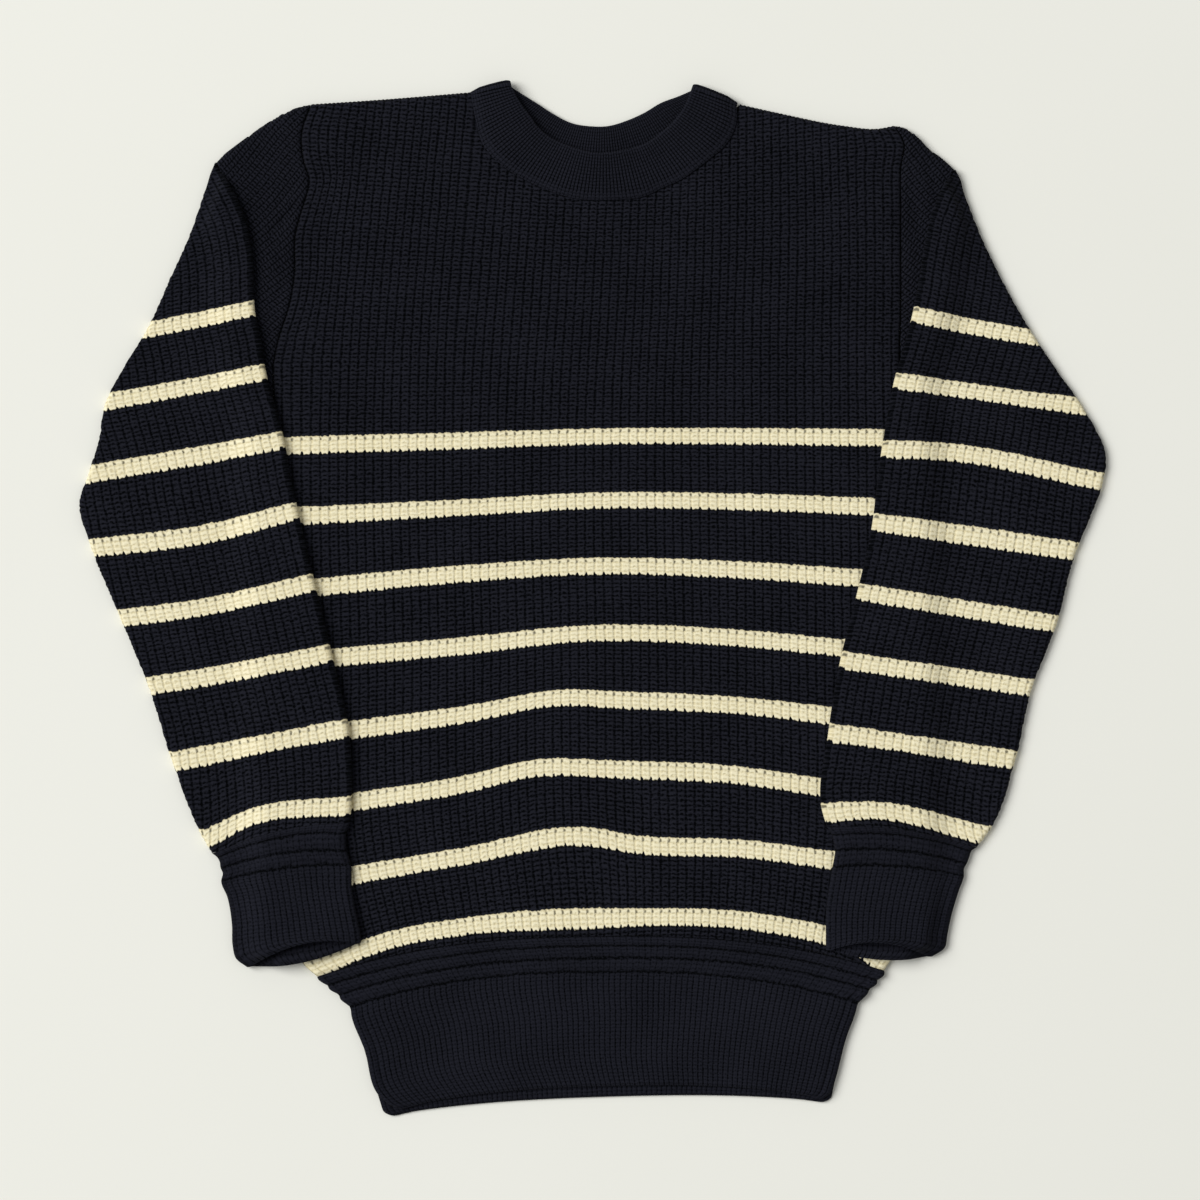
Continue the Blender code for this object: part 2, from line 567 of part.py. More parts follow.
def sleeve_wall(cut, edges, ribs, groove, rise, rows):
    """Outer and inner faces of a stretch of the sleeve: top, inner fold, under layer and outer fold."""
    columns = 2 * ribs + 1
    parts = np.tile(np.linspace(0, 1, columns), (len(edges["outer"]), 1))
    under_parts = under_columns(cut, edges)
    top = sleeve_plan(cut, edges, parts, 0)
    under = sleeve_plan(cut, edges, under_parts, 1)
    top_height = sleeve_heights(cut, edges, top, parts, True)
    under_height = sleeve_heights(cut, edges, under, under_parts, False)
    relief = rise[:, None] - groove[:, None] * (np.arange(columns) % 2 == 0)
    relief[:, [0, -1]] = 0.0
    faces = []
    for wall, raised in ((WALL / 2, relief), (-WALL / 2, 0.0)):
        reach = FOLD_RADIUS + wall
        sides = (
            long_fold(edges, "inner", top_height[:, -1], under_height[:, -1], reach, wall),
            long_fold(edges, "outer", under_height[:, 0], top_height[:, 0], reach, wall),
        )
        upper = with_height(top, top_height + wall)[rows]
        upper[..., 2] += raised
        lower = with_height(under, under_height - wall)[rows, ::-1]
        ring = np.concatenate([upper, sides[0][rows], lower, sides[1][rows]], axis=1)
        ring[..., 0] *= cut["side"]
        faces.append(ring)
    kept = every(columns, 2 * SLEEVE_RIBS_PER_FACE) + list(range(columns, faces[0].shape[1]))
    return faces[0], faces[1][:, kept], kept


def make_sleeves():
    """Sleeves and cuffs: flattened tubes folded down at the head, so that they lie over the body's sides.

    A sleeve's cap is sewn to both armholes; its top folds over the cap. The cuff has two welts and a
    ribbed band, and its under layer shows past its mouth.
    """
    for name, cut in SLEEVES.items():
        edges = sleeve_edges(cut)
        rows = slice(0, edges["last"] + 1)
        groove = np.where(np.arange(rows.stop) < edges["head"] - 1, 0.0, RIB_DEPTH)
        outer, inner, kept = sleeve_wall(cut, edges, SLEEVE_RIBS, groove, 0 * groove, rows)
        add_wall(f"sleeve_{name}", outer, inner, kept, True, groove > 0, NAVY)
        rows = slice(edges["last"], None)
        rise = edges["form"][rows, 2]
        groove = np.where(np.arange(len(rise)) < WELT_ROWS_OF_CUFF, 0.0, BAND_RIB_DEPTH)
        outer, inner, kept = sleeve_wall(cut, edges, CUFF_RIBS, groove, rise, rows)
        outer[0, :, 1] -= SEAM_GAP
        inner[0, :, 1] -= SEAM_GAP
        add_wall(f"cuff_{name}", outer, inner, kept, True, groove > 0, NAVY_BAND)


for item in list(bpy.data.objects):
    bpy.data.objects.remove(item, do_unlink=True)
collection = bpy.data.collections.new("crewneck_sweater")
bpy.context.scene.collection.children.link(collection)
make_body()
make_hem()
make_collar()
make_sleeves()
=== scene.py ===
"""Looks of a heavy ribbed wool crewneck sweater, laid flat with its sleeves folded down over its front.

Tables are in millimetres: X runs across the body, +X to the viewer's right, +Y from the hem to the neck,
and Z is the height above the surface that the back lies on. For a sleeve, "out" is the distance from the
body's centre line, so one function makes both sides.
"""

import bmesh
import bpy
import numpy as np
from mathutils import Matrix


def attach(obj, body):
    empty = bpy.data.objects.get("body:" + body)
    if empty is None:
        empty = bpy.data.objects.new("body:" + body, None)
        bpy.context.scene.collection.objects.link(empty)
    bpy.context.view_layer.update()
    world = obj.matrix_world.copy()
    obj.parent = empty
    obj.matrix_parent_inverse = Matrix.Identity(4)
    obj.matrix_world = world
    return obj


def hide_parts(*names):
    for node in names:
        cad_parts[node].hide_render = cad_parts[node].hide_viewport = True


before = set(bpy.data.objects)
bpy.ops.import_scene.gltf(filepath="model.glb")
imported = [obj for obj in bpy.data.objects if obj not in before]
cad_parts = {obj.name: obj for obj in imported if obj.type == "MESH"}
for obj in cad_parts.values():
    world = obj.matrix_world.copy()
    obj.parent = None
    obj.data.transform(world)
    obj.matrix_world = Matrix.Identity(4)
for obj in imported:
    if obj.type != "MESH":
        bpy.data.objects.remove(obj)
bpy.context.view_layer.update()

# Back panel: the heavy ribbed knit that the rest lies on, face down. It is knitted to shape in
# half-cardigan stitch from a thick woollen yarn, and joined to the front at the side seams.
MM = 0.001
WALL, PITCH = 2.8, 3.3  # thickness of the knit, and the step from one lying layer to the next
SEAM_GAP = 0.3
BODY_RIBS = 71
COLUMNS_PER_RIB = 8
RIB_DEPTH = 0.4
STRIPE_COURSES = 16  # from one stripe's middle to the next
CREAM_COURSES = 4
TOP_STRIPE_COURSE = 120
LEFT_SIDE = [
    (-181, -248), (-190, -240), (-195, -228), (-198, -208), (-203, -132), (-207, -34), (-209, 65),
    (-210, 153),
]
LEFT_ARMHOLE = [
    (-210, 153), (-206, 171), (-199, 193), (-196, 211), (-195, 240), (-190, 258), (-186, 274), (-190, 288),
    (-191, 305), (-185, 324),
]
RIGHT_SIDE = [
    (191, -244), (196, -236), (200, -222), (202, -185), (204, -132), (204, -34), (203, 80), (201.5, 170),
]
RIGHT_ARMHOLE = [(201.5, 170), (202, 190), (202, 220), (202, 253), (202, 283), (204, 299), (198, 310)]
UNDERARM = 0.7  # part of a panel's height
# The body's width as its ribs feel it, without the bends that stay close to the edge. columns: x, y
LEFT_SPREAD = [(-181, -248), (-200, -180), (-206, -34), (-209, 65), (-207, 153), (-200, 230), (-188, 324)]
RIGHT_SPREAD = [(191, -244), (201, -190), (204, -34), (203, 80), (202, 170), (202, 230), (198, 310)]
NECK_POINTS = (-79, 96)
EDGE_BEND = 22.0  # how far in from an edge its bends reach
BACK_TOP = [
    (-185, 324), (-140, 327), (-79, 332), (-68, 311), (-52, 296), (-30, 285), (-2, 280), (28, 283),
    (57, 294), (80, 309), (96, 324), (123, 318), (164, 310), (187, 308), (198, 310),
]
HEM_TOP = (-181.0, -248.3, 191.0, -244.3, 24.5)  # left x, left y, right x, right y, rise of the middle
HEM_FLATNESS = 2.5
# Middles of the cream stripes on the body, from the top one down. columns: x, y
BODY_STRIPES = [
    [(-200, 100), (-88, 103), (5, 106), (103, 106), (190, 105)],
    [(-191, 54), (-88, 59), (5, 64), (103, 63), (184, 60)],
    [(-181, 7), (-88, 16), (5, 21), (103, 18), (175, 13)],
    [(-170, -39), (-88, -32), (5, -23), (103, -27), (164, -33)],
    [(-160, -87), (-88, -77), (-9, -65), (5, -66), (103, -71), (155, -77)],
    [(-158, -134), (-88, -123), (-33, -111), (5, -112), (103, -117), (148, -124)],
    [(-158, -182), (-88, -170), (5, -157), (18, -160), (103, -165), (158, -172)],
    [
        (-186, -245), (-158, -233), (-128, -223), (-88, -216), (5, -210), (103, -212), (152, -221),
        (172, -227), (189, -239.5),
    ],
]


def ease(t):
    """Smooth step from 0 to 1 with level ends."""
    t = np.clip(t, 0.0, 1.0)
    return t * t * (3 - 2 * t)


def through(points, t):
    """A smooth curve through the rows of a table, at parts t (0 to 1) of its length in plan."""
    points = np.asarray(points, float)
    steps = np.linalg.norm(np.diff(points[:, :2], axis=0), axis=1)
    knots = np.concatenate([[0.0], np.cumsum(steps)])
    slopes = np.gradient(points, knots, axis=0)
    at = np.asarray(t, float) * knots[-1]
    k = np.clip(np.searchsorted(knots, at, side="right") - 1, 0, len(knots) - 2)
    gap = (knots[k + 1] - knots[k])[..., None]
    s = (at - knots[k])[..., None] / gap
    return (
        (1 + 2 * s) * (1 - s) ** 2 * points[k]
        + s * (1 - s) ** 2 * gap * slopes[k]
        + s * s * (3 - 2 * s) * points[k + 1]
        + s * s * (s - 1) * gap * slopes[k + 1]
    )


def curve_at(points, x):
    """Heights of a smooth curve, given as a table of x and y, at any x."""
    dense = through(points, np.linspace(0, 1, 400))
    order = np.argsort(dense[:, 0])
    return np.interp(x, dense[order, 0], dense[order, 1])


def courses(stripes, x, y):
    """Course number at each point: it grows by one stripe pitch from each stripe's middle to the next."""
    lines = np.stack([curve_at(stripe, x) for stripe in stripes])
    part = (y - lines[1:]) / (lines[:-1] - lines[1:])
    # Past the lowest stripe the count goes on for one pitch more, and past the top one for eight.
    low, high = np.zeros(len(part)), np.ones(len(part))
    low[-1], high[0] = -1.0, 9.0
    shape = (-1,) + (1,) * y.ndim
    part = np.clip(part, low.reshape(shape), high.reshape(shape))
    lowest = TOP_STRIPE_COURSE - STRIPE_COURSES * len(part)
    return lowest + STRIPE_COURSES * part.sum(axis=0)


def hem_line(row, u):
    """Plan points of one row of the hem at parts u of its width: level in the middle, falling at the ends."""
    x0, y0, x1, y1, rise = row[:5]
    arch = 1 - np.abs(2 * u - 1) ** HEM_FLATNESS
    return np.stack([x0 + (x1 - x0) * u, y0 + (y1 - y0) * u + rise * arch], axis=1)


def top_line(top, x):
    """Heights of a panel's top edge at any x: a smooth curve for each shoulder and one for the neckline."""
    points = np.array(top, float)
    ends = [np.abs(points[:, 0] - neck).argmin() for neck in NECK_POINTS]
    pieces = (points[: ends[0] + 1], points[ends[0] : ends[1] + 1], points[ends[1] :])
    dense = np.concatenate([through(piece, np.linspace(0, 1, 300)) for piece in pieces])
    dense[:, 0] = np.maximum.accumulate(dense[:, 0])
    return np.interp(x, dense[:, 0], dense[:, 1])


def panel_plan(top, u, v):
    """Plan points of a body panel, blended (a Coons patch) from its side edges, hem line and top line."""
    low = np.clip(v / UNDERARM, 0, 1)
    high = np.clip((v - UNDERARM) / (1 - UNDERARM), 0, 1)
    below = (v <= UNDERARM)[:, None]
    left = np.where(below, through(LEFT_SIDE, low), through(LEFT_ARMHOLE, high))
    right = np.where(below, through(RIGHT_SIDE, low), through(RIGHT_ARMHOLE, high))
    spread = [
        np.interp(side[:, 1], *through(table, np.linspace(0, 1, 200))[:, ::-1].T)
        for side, table in ((left, LEFT_SPREAD), (right, RIGHT_SPREAD))
    ]
    bends = np.stack([left[:, 0] - spread[0], right[:, 0] - spread[1]])
    bends -= bends[:, :1] * (1 - v) + bends[:, -1:] * v
    left, right = left - np.stack([bends[0], 0 * v], 1), right - np.stack([bends[1], 0 * v], 1)
    top_x = top[0][0] + (top[-1][0] - top[0][0]) * u
    upper = np.stack([top_x, top_line(top, top_x)], axis=1)
    lower = hem_line(HEM_TOP, u) + (0, SEAM_GAP)
    u, v = u[None, :, None], v[:, None, None]
    ruled = (1 - v) * lower[None] + v * upper[None]
    sides = (1 - u) * left[:, None] + u * right[:, None]
    corners = (1 - v) * ((1 - u) * lower[0] + u * lower[-1]) + v * ((1 - u) * upper[0] + u * upper[-1])
    plan = ruled + sides - corners
    from_left, from_right = plan[..., 0] - plan[:, :1, 0], plan[:, -1:, 0] - plan[..., 0]
    plan[..., 0] += bends[0][:, None] * np.exp(-((from_left / EDGE_BEND) ** 2))
    plan[..., 0] += bends[1][:, None] * np.exp(-((from_right / EDGE_BEND) ** 2))
    return plan


def rounded(distance, reach, drop):
    """How far an edge turns down at a distance from it: a quarter of an ellipse, level past its reach."""
    t = np.clip(distance / reach, 0, 1)
    return drop * (1 - np.sqrt(np.clip(1 - (1 - t) ** 2, 0, 1)))


def rib_relief(ribs, depth):
    """Grooves between ribs: a rib's face is nearly flat and falls quickly into the gap at whole numbers."""
    across = np.abs(2 * (ribs % 1.0) - 1)
    return -depth * across**7


def grid(plan, height):
    """Points in space: each plan point with its height."""
    return np.concatenate([plan, np.broadcast_to(height, plan.shape[:2])[..., None]], axis=2)


def add_cloth(name, shells, material):
    """One mesh of closed walls of cloth, each a fine face over a coarse lining, joined round their rims.

    A shell is (face, lining, uv, ring, across, along): grids of the same rows and columns in millimetres,
    the face's knit coordinates (one column more on a ring), and how many columns and rows of the face
    each face of the lining spans.
    """
    points, loops, corners, sizes = [], [], [], []
    base = 0
    for face, lining, uv, ring, across, along in shells:
        rows, columns = face.shape[:2]
        coarse = lining[::along, ::across]
        outer = base + np.arange(rows * columns).reshape(rows, columns)
        inner = base + rows * columns + np.arange(coarse[..., 0].size).reshape(coarse.shape[:2])
        base += rows * columns + inner.size
        points += [face.reshape(-1, 3), coarse.reshape(-1, 3)]
        if ring:
            outer = np.concatenate([outer, outer[:, :1]], axis=1)
            inner = np.concatenate([inner, inner[:, :1]], axis=1)
        inner_uv = uv[::along, ::across]

        def quads(index, knit, turn):
            for data, out in ((index, loops), (knit, corners)):
                cells = np.stack([data[:-1, :-1], data[:-1, 1:], data[1:, 1:], data[1:, :-1]], axis=2)
                cells = cells.reshape((-1, 4) + data.shape[2:])
                out.append((cells[:, ::-1] if turn else cells).reshape((-1,) + data.shape[2:]))
            sizes.append(np.full((index.shape[0] - 1) * (index.shape[1] - 1), 4))

        def rim(fine, fine_uv, few, few_uv, step):
            span = np.arange(len(few) - 1)[:, None] * step + np.arange(step + 1)
            for a, b, out in ((fine, few, loops), (fine_uv, few_uv, corners)):
                cells = np.concatenate([a[span], b[1:, None], b[:-1, None]], axis=1)
                out.append(cells.reshape((-1,) + a.shape[1:]))
            sizes.append(np.full(len(few) - 1, step + 3))

        quads(outer, uv, False)
        quads(inner, inner_uv, True)
        for row in (0, -1):
            rim(outer[row], uv[row], inner[row], inner_uv[row], across)
        for column in () if ring else (0, -1):
            rim(outer[:, column], uv[:, column], inner[:, column], inner_uv[:, column], along)

    points, loops = np.concatenate(points) * MM, np.concatenate(loops)
    corners, sizes = np.concatenate(corners), np.concatenate(sizes)
    mesh = bpy.data.meshes.new(name)
    mesh.vertices.add(len(points))
    mesh.vertices.foreach_set("co", points.astype(np.float32).ravel())
    mesh.loops.add(len(loops))
    mesh.loops.foreach_set("vertex_index", loops.astype(np.int32))
    mesh.polygons.add(len(sizes))
    mesh.polygons.foreach_set("loop_start", (np.cumsum(sizes) - sizes).astype(np.int32))
    mesh.update(calc_edges=True)
    mesh.uv_layers.new(name="knit").uv.foreach_set("vector", corners.astype(np.float32).ravel())
    welded = bmesh.new()
    welded.from_mesh(mesh)
    bmesh.ops.remove_doubles(welded, verts=welded.verts, dist=2e-6)
    bmesh.ops.recalc_face_normals(welded, faces=welded.faces)
    welded.to_mesh(mesh)
    welded.free()
    mesh.shade_smooth()
    mesh.materials.append(material)
    piece = bpy.data.objects.new(name, mesh)
    bpy.context.scene.collection.objects.link(piece)
    return piece


def linear(colour):
    """sRGB hex, such as 1c1d23, to linear red, green and blue with alpha 1."""
    parts = np.array([int(colour[k : k + 2], 16) for k in (0, 2, 4)]) / 255
    parts = np.where(parts <= 0.04045, parts / 12.92, ((parts + 0.055) / 1.055) ** 2.4)
    return (*parts, 1.0)


def add_node(tree, kind, links=None, **settings):
    """Adds a shader node with its settings, and gives each named input a value or another node's output."""
    node = tree.nodes.new("ShaderNode" + kind)
    for key, value in settings.items():
        setattr(node, key, value)
    for key, value in (links or {}).items():
        if isinstance(value, bpy.types.Node):
            value = value.outputs[0]
        if isinstance(value, bpy.types.NodeSocket):
            tree.links.new(value, node.inputs[key])
        else:
            node.inputs[key].default_value = value
    return node


# Patches to a metre in the yarn's noises: slow shades, the wander of the loops, and loose fibres
SHADE_PATCHES, LOOP_WANDER, FIBRES = 28.0, 260.0, 1500.0
UNEVEN_STITCHES = 2.6  # patches to a rib and to a course: the stitches aren't all as tight


def knitted_wool(name, navy, painted_shade_navy, line, dash, row, depth, striped=False, welted=False, plain=None):
    """Woollen yarn knitted in ribs. line, dash and row are how much painted shade darkens the colour
    between ribs, within each stitch and between courses, where the same marks also sink the bump; the
    second navy is the yarn's colour in that painted shade, and depth is the height of the stitches' bump
    in millimetres.

    The knit coordinates count ribs across and courses along, so the stitches, the grooves between ribs
    and the stripes stay together. Each line of painted shade is a cosine wave raised to a power: the
    higher the power, the narrower the line.
    """
    material = bpy.data.materials.new(name)
    material.use_nodes = True
    tree = material.node_tree
    shader = tree.nodes["Principled BSDF"]

    def math(operation, a, b=0.0, c=0.0):
        return add_node(tree, "Math", {0: a, 1: b, 2: c}, operation=operation)

    def step(value, low, high, to_low=0.0, to_high=1.0):
        links = {0: value, 1: low, 2: high, 3: to_low, 4: to_high}
        return add_node(tree, "MapRange", links, interpolation_type="SMOOTHSTEP")

    knit = add_node(tree, "UVMap", uv_map="knit")
    place = add_node(tree, "TexCoord").outputs["Object"]
    drift = add_node(tree, "TexNoise", {"Vector": place, "Scale": LOOP_WANDER, "Detail": 2.0})
    slow = add_node(tree, "TexNoise", {"Vector": place, "Scale": SHADE_PATCHES, "Detail": 3.0})
    fibre = add_node(tree, "TexNoise", {"Vector": place, "Scale": FIBRES, "Detail": 2.0, "Roughness": 0.6})
    wander = add_node(tree, "SeparateColor", {0: drift.outputs["Color"]})
    parts = add_node(tree, "SeparateXYZ", {0: knit})
    # The loops wander by part of a rib and of a course, so no line is quite straight.
    rib = math("MULTIPLY_ADD", math("SUBTRACT", wander.outputs[0], 0.5), 0.35, parts.outputs["X"])
    along = math("MULTIPLY_ADD", math("SUBTRACT", wander.outputs[1], 0.5), 0.9, parts.outputs["Y"])
    # The gap between two ribs, the middle of a rib, and the arched line between two courses: where the colour
    # takes painted shade and the bump sinks
    wave = math("MULTIPLY_ADD", math("COSINE", math("MULTIPLY", rib, 2 * np.pi)), 0.5, 0.5)
    gap = math("POWER", wave, 5.0)
    middle = math("POWER", math("SUBTRACT", 1.0, wave), 1.9)
    arched = math("MULTIPLY_ADD", wave, 0.12, along)
    between = math("MULTIPLY_ADD", math("COSINE", math("MULTIPLY", arched, 2 * np.pi)), 0.5, 0.5)
    between = math("POWER", between, 1.5)
    if welted:
        # Above zero the courses belong to the rolled welts, three to a roll, with painted shade in the crease
        # between two.
        welt = math("GREATER_THAN", parts.outputs["Y"], 0.0)
        crease = math("MULTIPLY_ADD", math("SUBTRACT", wander.outputs[2], 0.5), 1.6, parts.outputs["Y"])
        crease = math("COSINE", math("MULTIPLY", crease, 2 * np.pi / WELT_COURSES))
        crease = math("POWER", math("MULTIPLY_ADD", crease, 0.5, 0.5), 8.0)
        crease = math("MULTIPLY", crease, math("LESS_THAN", parts.outputs["Y"], 2.6 * WELT_COURSES))
        crease = math("MULTIPLY", crease, math("GREATER_THAN", parts.outputs["Y"], -0.4 * WELT_COURSES))
        gap = math("MULTIPLY", gap, math("MULTIPLY_ADD", welt, -0.3, 1.0))
    if plain:
        # Before the first of these courses and past the second the ribs are pulled flat.
        ribbed = step(parts.outputs["Y"], plain[0] - 0.4, plain[0] + 0.4)
        ribbed = math("MULTIPLY", ribbed, step(parts.outputs["Y"], plain[1] + 0.6, plain[1] - 0.6))
        gap = math("MULTIPLY", gap, math("MULTIPLY_ADD", ribbed, 0.5, 0.5))
    # Painted shade in the gaps between ribs, within each stitch and between courses; the same value also
    # sinks the bump.
    painted_shade_and_depth = math("MULTIPLY", math("MULTIPLY", gap, line), math("MULTIPLY_ADD", between, 0.25, 0.75))
    painted_shade_and_depth = math("MULTIPLY_ADD", math("MULTIPLY", middle, between), dash, painted_shade_and_depth)
    painted_shade_and_depth = math("MULTIPLY_ADD", between, row, painted_shade_and_depth)
    if welted:
        # Painted shade in the creases between the welts, also sinking the bump there.
        painted_shade_and_depth = math("MULTIPLY_ADD", crease, 0.6, painted_shade_and_depth)
    uneven = add_node(tree, "TexNoise", {"Vector": knit, "Scale": UNEVEN_STITCHES, "Detail": 1.0})
    painted_shade_and_depth = math("MULTIPLY", painted_shade_and_depth, step(uneven, 0.32, 0.68, 0.5, 1.5))
    # The painted shade and the yarn's random tone together mix the navy towards the navy in painted shade.
    yarn = math("MULTIPLY_ADD", fibre, 0.9, math("MULTIPLY", slow, 0.5))
    shade = add_node(tree, "Clamp", {0: math("ADD", painted_shade_and_depth, math("SUBTRACT", yarn, 0.62))})
    colour = add_node(tree, "MixRGB", {0: shade, 1: linear(navy), 2: linear(painted_shade_navy)})
    if striped:
        # A cream stripe is four courses of the same yarn. Navy climbs into its lower border along the gap
        # between ribs, and shows as a dot just inside its upper border.
        lower = math("LESS_THAN", math("FRACT", math("DIVIDE", along, STRIPE_COURSES)), 0.5)
        border = math("MULTIPLY", gap, math("MULTIPLY_ADD", lower, -0.55, -0.12))
        border = math("ADD", along, math("MULTIPLY_ADD", middle, -0.15, border))
        phase = math("FRACT", math("DIVIDE", border, STRIPE_COURSES))
        from_middle = math("MULTIPLY", math("ABSOLUTE", math("SUBTRACT", phase, 0.5)), STRIPE_COURSES)
        cream = step(from_middle, CREAM_COURSES / 2 + 0.12, CREAM_COURSES / 2 - 0.12)
        inside = math("LESS_THAN", parts.outputs["Y"], TOP_STRIPE_COURSE + STRIPE_COURSES / 2)
        inside = math("MULTIPLY", inside, math("GREATER_THAN", parts.outputs["Y"], 0.0))
        cream = math("MULTIPLY", cream, inside)
        dot = step(math("ABSOLUTE", math("SUBTRACT", from_middle, 1.3)), 0.5, 0.15)
        dot = math("MULTIPLY", math("MULTIPLY", dot, gap), math("SUBTRACT", 1.0, lower))
        cream = math("MULTIPLY", cream, math("MULTIPLY_ADD", dot, -0.75, 1.0))
        # The cream takes a fainter painted shade in its gaps and holes: cabc8e is the cream in painted shade.
        # Where the cream is, the painted shade and the bump are weaker.
        faint = math("MULTIPLY", shade, 0.65)
        light = add_node(tree, "MixRGB", {0: faint, 1: linear("f3ebca"), 2: linear("cabc8e")})
        colour = add_node(tree, "MixRGB", {0: cream, 1: colour, 2: light})
        painted_shade_and_depth = math("MULTIPLY", painted_shade_and_depth, math("MULTIPLY_ADD", cream, -0.6, 1.0))
    height = math("SUBTRACT", math("MULTIPLY", fibre.outputs["Fac"], 0.25), painted_shade_and_depth)
    bump = add_node(tree, "Bump", {"Height": height, "Strength": 1.0, "Distance": depth * MM})
    tree.links.new(colour.outputs[0], shader.inputs["Base Color"])
    tree.links.new(bump.outputs[0], shader.inputs["Normal"])
    # Wool is matt, with a faint sheen from its loose fibres.
    matt = {"Roughness": 0.92, "IOR": 1.45, "Specular IOR Level": 0.05}
    sheen = {"Sheen Weight": 0.01, "Sheen Roughness": 0.5}
    for key, value in (matt | sheen).items():
        shader.inputs[key].default_value = value
    return material


# Thick woollen yarn in half-cardigan stitch: deep gaps of painted shade between plump ribs, and a dash of
# painted shade within each stitch
striped_wool = knitted_wool(
    "striped_half_cardigan_wool", navy="1f2028", painted_shade_navy="010204", line=0.84, dash=0.68, row=0.36,
    depth=0.6, striped=True,
)


def even(count):
    """Evenly spaced parts from 0 to 1."""
    return np.linspace(0, 1, count)


def panel_knit(plan, u):
    """Knit coordinates of a body panel: its ribs counted across, and its courses from the stripes."""
    ribs = np.broadcast_to(u * BODY_RIBS, plan.shape[:2])
    return np.stack([ribs, courses(BODY_STRIPES, plan[..., 0], plan[..., 1])], axis=2)


BACK_ROWS = np.concatenate([np.linspace(0, 0.97, 61), np.linspace(0.98, 1, 4)])
EDGE_REACH = 4.0  # how far in from a panel's edge it begins to turn down


def side_distance(plan):
    """Distance of each point from its row's nearer end."""
    return np.minimum(plan[..., 0] - plan[:, :1, 0], plan[:, -1:, 0] - plan[..., 0])


u = even(2 * BODY_RIBS + 1)
plan = panel_plan(BACK_TOP, u, BACK_ROWS)
turned = np.maximum(
    rounded(side_distance(plan), EDGE_REACH, WALL / 2),
    rounded(plan[-1:, :, 1] - plan[..., 1], EDGE_REACH, WALL / 2),
)
knit_uv = panel_knit(plan, u)
upper, lower = grid(plan, WALL - turned), grid(plan, turned)
back = add_cloth("knit_back", [(upper, lower, knit_uv, False, 2, 2)], striped_wool)
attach(back, "root")
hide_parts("back")

# Front panel: the same knit lying on the back, its ribs up and down. The neckline is cut low and the
# shoulders and sides run into the folds where it meets the back.
FRONT_TOP = [
    (-185, 324), (-140, 327), (-79, 332), (-76.5, 314), (-72, 299), (-64, 289), (-54, 281.5),
    (-43, 274.5), (-31, 269), (-19, 265), (-7, 262.5), (7, 262), (20, 262.5), (34, 264.5),
    (45, 269.5), (57, 275), (68, 282), (77, 289), (85, 296), (91, 304), (94, 315), (96, 324),
    (123, 318), (164, 310), (187, 308), (198, 310),
]
FRONT_ROWS = np.concatenate([np.linspace(0, 0.965, 139), np.linspace(0.97, 1, 14)])
TOP_REACH = 4.5  # how far below its top edge the front begins to turn down
ARMHOLE_DROP, NECKLINE_DROP = 1.6, 0.8  # how far it turns down where another piece covers the edge
SHOULDER_LOOP, SHOULDER_PART = 0.4, 0.006  # height of the loops on the top edge, and the part they reach
LOWEST_SWELL = -0.9  # no crease goes down to the back
RELIEF_FADE = 4.0  # the ribs fade out as an edge turns down this far
# Soft creases and swells of the front. columns: x, y of one end, x, y of the other, half width, height
FRONT_CREASES = [
    (-175, 278, -172, 256, 7, -1.1), (-168, 300, -150, 240, 16, 0.8), (-110, 252, -60, 238, 12, -0.5),
    (120, 262, 180, 240, 14, -0.6), (170, 290, 196, 262, 8, 0.7), (-60, 40, 40, 60, 26, 0.5),
    (10, -150, 26, -168, 12, -0.7), (-120, -150, -60, -165, 18, 0.5), (60, -190, 120, -182, 14, 0.5),
    (-186, 214, -160, 196, 9, -0.7), (160, 200, 195, 170, 10, -0.6), (-30, 150, 60, 162, 24, -0.4),
]


def creased(plan, creases):
    """Sum of soft ridges and troughs: each falls off smoothly with the distance from its straight line."""
    height = np.zeros(plan.shape[:2])
    for x0, y0, x1, y1, width, rise in creases:
        line = np.array([x1 - x0, y1 - y0], float)
        reach = line @ line
        at = np.clip(((plan[..., 0] - x0) * line[0] + (plan[..., 1] - y0) * line[1]) / reach, 0, 1)
        away = np.hypot(plan[..., 0] - x0 - at * line[0], plan[..., 1] - y0 - at * line[1])
        height += rise * np.exp(-((away / width) ** 2))
    return height


u = even(COLUMNS_PER_RIB * BODY_RIBS + 1)
plan = panel_plan(FRONT_TOP, u, FRONT_ROWS)
from_top = (1 - FRONT_ROWS[:, None]) / SHOULDER_PART
plan[..., 1] += SHOULDER_LOOP * np.abs(np.sin(2 * np.pi * BODY_RIBS * u)) * np.exp(-(from_top**2))
neck = (plan[-1, :, 0] > NECK_POINTS[0] - 1) & (plan[-1, :, 0] < NECK_POINTS[1] + 1)
turned = np.maximum(
    rounded(side_distance(plan), EDGE_REACH, np.where(FRONT_ROWS > UNDERARM, ARMHOLE_DROP, WALL)[:, None]),
    rounded(plan[-1:, :, 1] - plan[..., 1], TOP_REACH, np.where(neck, NECKLINE_DROP, WALL)),
)
swell = creased(plan, FRONT_CREASES)
knit_uv = panel_knit(plan, u)
relief = rib_relief(knit_uv[..., 0], RIB_DEPTH) * (1 - turned / RELIEF_FADE)
upper = grid(plan, PITCH + WALL - turned + np.maximum(swell, LOWEST_SWELL) + relief)
lower = grid(plan, PITCH)
front = add_cloth("knit_front", [(upper, lower, knit_uv, False, COLUMNS_PER_RIB, 4)], striped_wool)
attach(front, "root")
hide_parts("front")

